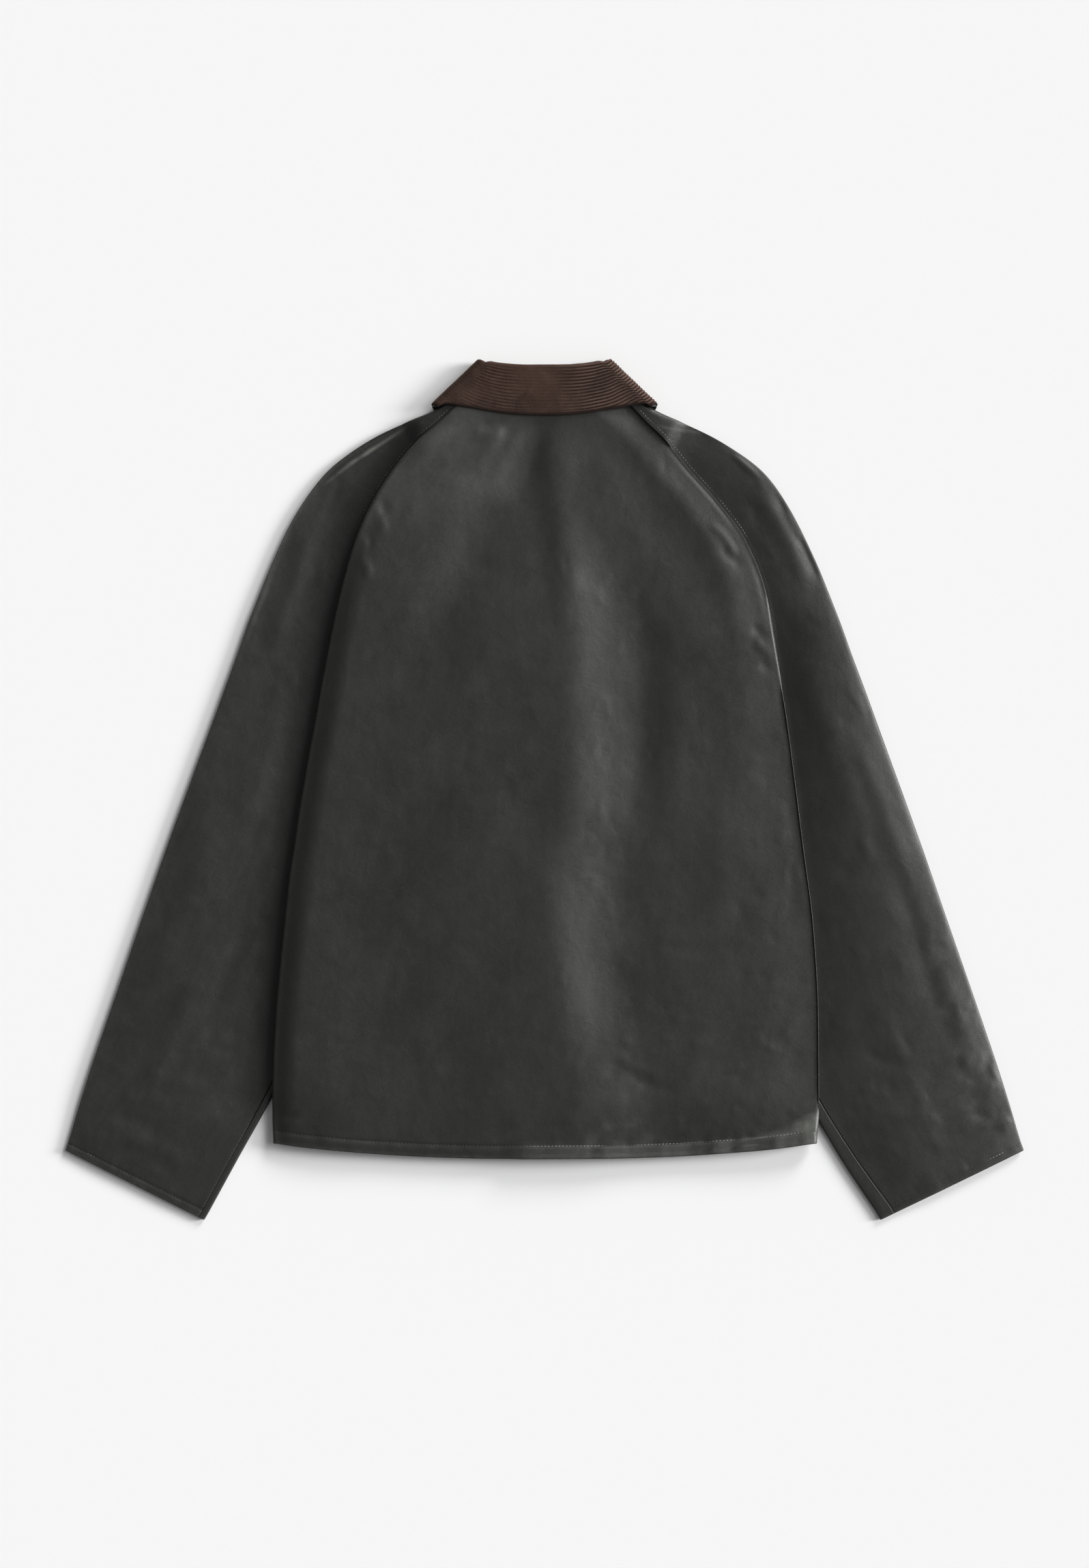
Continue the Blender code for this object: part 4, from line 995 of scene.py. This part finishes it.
def build_collar(corduroy, twill):
    fall, roll_steps = 168, 14
    grid, folded = collar_grid(1.5 * COLLAR_PITCH, fall, 26, roll_steps, 0.0, 1.0, ROLL_BACK, (22, 22, 44))
    step = np.linalg.norm(np.diff(grid, axis=1), axis=2)
    s = np.concatenate([np.zeros((len(grid), 1)), np.cumsum(step, axis=1)], axis=1)
    s -= s[:, fall + roll_steps // 2 - 1][:, None]
    x, y = grid[..., 0], grid[..., 1]
    phase = 2 * np.pi * (s / WALE + 0.10 * fbm(x, y, 16, 41)) + 0.6
    wale = (0.5 + 0.5 * np.cos(phase)) ** 0.75
    # The pile is rubbed flat in patches, least towards the wearer's right.
    kept = np.clip(0.42 + 0.70 * smooth((x - 8) / 40) + 0.42 * fbm(x, y, 19, 49) - 0.10 * smooth((40 + x) / 40), 0.16, 1.0)
    wale = 0.55 + (wale - 0.55) * kept
    edge = smooth((np.abs(s - s[:, :1])) / 2.8)  # the turned edge has no wales
    fall_part = np.arange(grid.shape[1])[None] < fall
    sag = 0.35 * fbm(x, y, 26, 44) * smooth((folded - 4.2) / 0.6)[:, None] * fall_part * smooth(-s / 8)
    sag = np.maximum(sag, -0.15)
    height = (0.60 + 0.34 * smooth((x - 8) / 40)) * wale * edge * (0.82 + 0.18 * fbm(x, y, 9, 47)) - 0.20
    grid[..., 2] += sag * np.sin(np.radians(90)) * (folded > 4.6)[:, None]
    # The last attribute marks where the wales' painted highlights and painted shade are strongest, towards the
    # wearer's right.
    top = shell("corduroy_collar", grid[:, ::-1], 1.3, corduroy, outer=height[:, ::-1],
                attributes={"wale": (wale * edge)[:, ::-1], "edge": (1 - edge)[:, ::-1], "crisp": smooth((x - 8) / 40)[:, ::-1]})
    peek = lambda k: 2.0 - 3.0 * smooth(1 - np.abs(k - 4.1) / 1.5)
    grid, folded = collar_grid(0.5 * COLLAR_PITCH, 26, 14, 8, peek, 1.0, UNDER_ROLL_BACK, (16, 16, 24))
    under = shell("under_collar", grid[:, ::-1], 1.2, twill, attributes={"wear": 0.0})
    return top, under


# ---------------------------------------------------------------- materials


class Nodes:
    """Short helpers to build one material."""

    def __init__(self, name):
        self.material = bpy.data.materials.new(name)
        self.material.use_nodes = True
        self.tree = self.material.node_tree
        self.shader = self.tree.nodes["Principled BSDF"]

    def new(self, kind, **settings):
        node = self.tree.nodes.new(kind)
        for key, value in settings.items():
            setattr(node, key, value)
        return node

    def link(self, source, target):
        self.tree.links.new(source, target)

    def attribute(self, name, output="Fac"):
        return self.new("ShaderNodeAttribute", attribute_name=name).outputs[output]

    def position(self):
        return self.new("ShaderNodeTexCoord").outputs["Object"]

    def scaled(self, vector, scale):
        node = self.new("ShaderNodeVectorMath", operation="MULTIPLY")
        self.link(vector, node.inputs[0])
        node.inputs[1].default_value = scale
        return node.outputs[0]

    def noise(self, vector, scale, detail=3.0, rough=0.55, distortion=0.0):
        node = self.new("ShaderNodeTexNoise")
        self.link(vector, node.inputs["Vector"])
        node.inputs["Scale"].default_value = scale
        node.inputs["Detail"].default_value = detail
        node.inputs["Roughness"].default_value = rough
        node.inputs["Distortion"].default_value = distortion
        return node.outputs["Fac"]

    def math(self, operation, a, b=None, c=None, clamp=False):
        node = self.new("ShaderNodeMath", operation=operation, use_clamp=clamp)
        for socket, value in zip(node.inputs, (a, b, c)):
            if value is None:
                continue
            if isinstance(value, (int, float)):
                socket.default_value = value
            else:
                self.link(value, socket)
        return node.outputs[0]

    def ranged(self, value, low, high, to_low, to_high):
        node = self.new("ShaderNodeMapRange")
        self.link(value, node.inputs["Value"])
        for key, number in zip(("From Min", "From Max", "To Min", "To Max"), (low, high, to_low, to_high)):
            node.inputs[key].default_value = number
        return node.outputs[0]

    def mix(self, share, a, b, blend="MIX"):
        node = self.new("ShaderNodeMix", data_type="RGBA", blend_type=blend)
        if isinstance(share, (int, float)):
            node.inputs["Factor"].default_value = share
        else:
            self.link(share, node.inputs["Factor"])
        for socket, value in ((node.inputs[6], a), (node.inputs[7], b)):
            if isinstance(value, tuple):
                socket.default_value = (*value, 1.0)
            else:
                self.link(value, socket)
        return node.outputs[2]

    def bump(self, height, strength, distance, before=None):
        node = self.new("ShaderNodeBump")
        node.inputs["Strength"].default_value = strength
        node.inputs["Distance"].default_value = distance
        self.link(height, node.inputs["Height"])
        if before is not None:
            self.link(before, node.inputs["Normal"])
        return node.outputs["Normal"]

    def set(self, **values):
        names = {
            "specular": "Specular IOR Level", "ior": "IOR", "sheen": "Sheen Weight", "sheen_rough": "Sheen Roughness",
            "coat": "Coat Weight", "coat_rough": "Coat Roughness", "metallic": "Metallic", "roughness": "Roughness",
        }
        for key, value in values.items():
            self.shader.inputs[names[key]].default_value = value


def waxed_cotton(name, colour, light, wear_light):
    """Waxed cotton: a dark, greasy cloth with pale worn wax, painted highlights and painted shade, and a fine plain
    weave.
    """
    n = Nodes(name)
    place, cloth = n.position(), n.attribute("cloth", "Vector")
    broad = n.noise(place, 9.0, 4.0, 0.55, 0.4)
    patch = n.noise(place, 46.0, 5.0, 0.62, 0.6)
    streak = n.noise(n.scaled(cloth, (1.0, 0.22, 1.0)), 160.0, 3.0, 0.6)
    fine = n.noise(place, 620.0, 3.0, 0.6)
    tone = n.mix(n.ranged(broad, 0.32, 0.68, 0.0, 1.0), colour, light)
    tone = n.mix(n.ranged(patch, 0.35, 0.70, 0.0, 0.55), tone, light)
    tone = n.mix(n.ranged(streak, 0.40, 0.72, 0.0, 0.35), tone, tuple(c * 0.74 for c in colour))
    tone = n.mix(n.ranged(fine, 0.45, 0.75, 0.0, 0.20), tone, tuple(c * 1.22 for c in light))
    worn = n.math("MULTIPLY", n.attribute("wear"), n.ranged(n.noise(place, 150.0, 4.0, 0.65), 0.34, 0.66, 0.15, 1.0))
    tone = n.mix(n.math("MULTIPLY", worn, 0.75), tone, wear_light)
    # Pale colour from the attribute: worn wax at the hem, and painted highlights on the back's upper left, along the
    # sleeves' shoulder creases and towards the right sleeve's fold.
    pale = n.math("MULTIPLY", n.attribute("faded"), n.ranged(n.noise(place, 210.0, 4.0, 0.62), 0.34, 0.66, 0.72, 1.0))
    tone = n.mix(pale, tone, (0.150, 0.155, 0.140))
    # Painted shade: the sleeves' colour is darkened in the fold beside the body, where the body casts its shadow.
    oily = n.math("MULTIPLY", n.attribute("oily"), 0.62)
    tone = n.mix(oily, tone, tuple(c * 0.18 for c in colour))
    n.link(tone, n.shader.inputs["Base Color"])
    rough = n.ranged(n.math("MULTIPLY_ADD", patch, 0.6, n.math("MULTIPLY", fine, 0.4)), 0.35, 0.65, 0.35, 0.47)
    n.link(rough, n.shader.inputs["Roughness"])
    # Plain weave: warp and weft threads 0.5 mm apart pass over each other in turn.
    split = n.new("ShaderNodeSeparateXYZ")
    n.link(cloth, split.inputs[0])
    pitch = 2 * math.pi / 0.0005
    warp = n.math("SINE", n.math("MULTIPLY", split.outputs[0], pitch))
    weft = n.math("SINE", n.math("MULTIPLY", split.outputs[1], pitch))
    weave = n.math("MULTIPLY", warp, weft)
    first = n.bump(weave, 0.25, 0.00006)
    crumple = n.noise(place, 95.0, 6.0, 0.62, 0.9)
    second = n.bump(crumple, 0.27, 0.0009, first)
    third = n.bump(n.noise(place, 420.0, 3.0, 0.6), 0.12, 0.00016, second)
    n.link(third, n.shader.inputs["Normal"])
    n.set(specular=0.50, ior=1.46, sheen=0.03, sheen_rough=0.45, coat=0.04, coat_rough=0.30, metallic=0.0)
    return n.material


def corduroy_cloth(name):
    n = Nodes(name)
    place = n.position()
    wale, edge, crisp = n.attribute("wale"), n.attribute("edge"), n.attribute("crisp")
    pile = n.noise(n.scaled(place, (1.0, 1.0, 1.0)), 900.0, 4.0, 0.7)
    rubbed = n.noise(place, 52.0, 5.0, 0.62, 1.0)
    blotch = n.noise(place, 26.0, 3.0, 0.5)
    body = n.mix(n.ranged(blotch, 0.35, 0.65, 0.0, 1.0), (0.0155, 0.0080, 0.0060), (0.040, 0.0200, 0.0145))
    # Painted light and shade: the wale crests are painted lighter and the ground between them darker, most on the
    # wearer's right, which faces the light; the rubbed patches on the crests are wear.
    wale_top_wear_and_painted_highlight = n.mix(n.ranged(rubbed, 0.42, 0.68, 0.0, 1.0), (0.044, 0.0245, 0.0190), (0.088, 0.055, 0.043))
    wale_top_wear_and_painted_highlight = n.mix(n.math("MULTIPLY", crisp, 0.85), wale_top_wear_and_painted_highlight, (0.140, 0.088, 0.070))
    tone = n.mix(n.ranged(wale, 0.30, 0.95, 0.0, 0.80), body, wale_top_wear_and_painted_highlight)
    wale_gap_painted_shade = n.math("MULTIPLY", n.ranged(wale, 0.0, 0.50, 1.0, 0.0), n.math("MULTIPLY_ADD", crisp, 0.5, 0.5))
    tone = n.mix(wale_gap_painted_shade, tone, (0.0038, 0.0019, 0.0015))
    flattened = n.ranged(n.noise(place, 38.0, 4.0, 0.6, 0.8), 0.50, 0.66, 0.0, 0.46)
    tone = n.mix(flattened, tone, (0.0135, 0.0070, 0.0053))
    tone = n.mix(n.ranged(pile, 0.42, 0.74, 0.0, 0.40), tone, (0.082, 0.052, 0.041))
    # Darker along the turned edge, which has no wales: partly its own colour, partly painted shadow along the collar's
    # lower edge.
    tone = n.mix(n.math("MULTIPLY", edge, 0.8), tone, (0.0150, 0.0085, 0.0066))
    n.link(tone, n.shader.inputs["Base Color"])
    n.link(n.ranged(pile, 0.3, 0.7, 0.82, 0.97), n.shader.inputs["Roughness"])
    first = n.bump(pile, 0.8, 0.00022)
    n.link(n.bump(n.noise(place, 260.0, 3.0, 0.6), 0.4, 0.0003, first), n.shader.inputs["Normal"])
    n.set(specular=0.18, ior=1.45, sheen=0.35, sheen_rough=0.35, coat=0.0, coat_rough=0.3, metallic=0.0)
    n.shader.inputs["Sheen Tint"].default_value = (0.62, 0.44, 0.36, 1.0)
    return n.material


def thread_material(name, colour):
    n = Nodes(name)
    fine = n.noise(n.position(), 2400.0, 2.0, 0.5)
    dark = n.mix(n.ranged(fine, 0.3, 0.7, 0.0, 1.0), colour, tuple(c * 1.7 for c in colour))
    bleached = n.mix(n.ranged(fine, 0.3, 0.7, 0.0, 1.0), (0.30, 0.29, 0.24), (0.55, 0.54, 0.46))
    n.link(n.mix(n.attribute("pale"), dark, bleached), n.shader.inputs["Base Color"])
    n.link(n.ranged(fine, 0.3, 0.7, 0.45, 0.62), n.shader.inputs["Roughness"])
    n.link(n.bump(fine, 0.5, 0.00008), n.shader.inputs["Normal"])
    n.set(specular=0.4, sheen=0.2, sheen_rough=0.4, metallic=0.0)
    return n.material


# ---------------------------------------------------------------- the jacket

cotton = waxed_cotton("waxed_cotton_cloth", (0.0150, 0.0155, 0.0139), (0.0212, 0.0218, 0.0197), (0.050, 0.051, 0.046))
underside = cotton
corduroy = corduroy_cloth("corduroy_cloth")
twill = waxed_cotton("under_collar_twill", (0.0120, 0.0142, 0.0118), (0.0170, 0.0196, 0.0165), (0.030, 0.033, 0.028))
thread = thread_material("thread", (0.018, 0.019, 0.016))

pieces = {}
pieces["back_panel"], _ = build_back(cotton, thread)
for side, label in ((-1, "left"), (1, "right")):
    pieces[f"front_{label}"], _ = build_front(side, label, cotton, thread)
    pieces[f"sleeve_{label}_back"], _ = build_sleeve_back(side, label, cotton, thread)
    pieces[f"sleeve_{label}_front"], _ = build_sleeve_front(side, label, cotton, thread)
pieces["collar_top"], pieces["collar_under"] = build_collar(corduroy, twill)

# The cut of each piece: width, length and area, in metres.
CUTS = {
    "back_panel": (0.512, 0.716, 0.304),
    "front_left": (0.278, 0.676, 0.155), "front_right": (0.280, 0.676, 0.158),
    "sleeve_left_back": (0.176, 0.800, 0.100), "sleeve_right_back": (0.180, 0.800, 0.100),
    "sleeve_left_front": (0.196, 0.800, 0.113), "sleeve_right_front": (0.196, 0.800, 0.113),
    "collar_top": (0.110, 0.560, 0.0350), "collar_under": (0.104, 0.550, 0.0300),
}
for node, piece in pieces.items():
    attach(piece, "root")
    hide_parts(node)
    width, length, area = CUTS[node]

# ---------------------------------------------------------------- floor, light and camera

floor_mesh = bpy.data.meshes.new("floor")
reach = 12.0
floor_mesh.from_pydata([(-reach, -reach, 0), (reach, -reach, 0), (reach, reach, 0), (-reach, reach, 0)], [], [(0, 1, 2, 3)])
floor = bpy.data.objects.new("floor", floor_mesh)
bpy.context.scene.collection.objects.link(floor)
floor.location = (0.0, 0.0, -0.0002)
plain = bpy.data.materials.new("pale_floor")
plain.use_nodes = True
plain.node_tree.nodes["Principled BSDF"].inputs["Base Color"].default_value = (0.88, 0.88, 0.88, 1.0)
plain.node_tree.nodes["Principled BSDF"].inputs["Roughness"].default_value = 0.9
plain.node_tree.nodes["Principled BSDF"].inputs["Specular IOR Level"].default_value = 0.0
floor_mesh.materials.append(plain)

# A low soft light from the upper right gives the floor its shadow, and a higher, wider one
# gives the wax its gloss.
SKY = 0.20
LIGHTS = [("low_key", 3.25, 20.0, 10.0, 18.0), ("high_key", 1.07, 45.0, 15.0, 34.0), ("top_key", 1.90, 25.0, 56.0, 20.0)]
world = bpy.data.worlds.new("studio")
world.use_nodes = True
world.node_tree.nodes["Background"].inputs["Color"].default_value = (1.0, 1.0, 1.0, 1.0)
world.node_tree.nodes["Background"].inputs["Strength"].default_value = SKY
bpy.context.scene.world = world

for name, strength, height, turn, width in LIGHTS:
    sun = bpy.data.lights.new(name, "SUN")
    sun.energy = strength
    sun.angle = math.radians(width)
    lamp = bpy.data.objects.new(name, sun)
    bpy.context.scene.collection.objects.link(lamp)
    up, turn = math.radians(height), math.radians(turn)
    towards = Vector((math.cos(up) * math.cos(turn), math.cos(up) * math.sin(turn), math.sin(up)))
    lamp.rotation_mode = "QUATERNION"
    lamp.rotation_quaternion = towards.to_track_quat("Z", "Y")
    lamp.location = towards * 3

lens = bpy.data.cameras.new("camera")
lens.lens = 100.0
lens.sensor_width = 36.0
lens.clip_end = 60.0
camera = bpy.data.objects.new("camera", lens)
bpy.context.scene.collection.objects.link(camera)
camera.location = (0.0, 0.0052, 4.023)
camera.rotation_euler = (0.0, 0.0, 0.0)
bpy.context.scene.camera = camera
bpy.context.scene.view_settings.view_transform = "Standard"
bpy.context.scene.view_settings.look = "None"
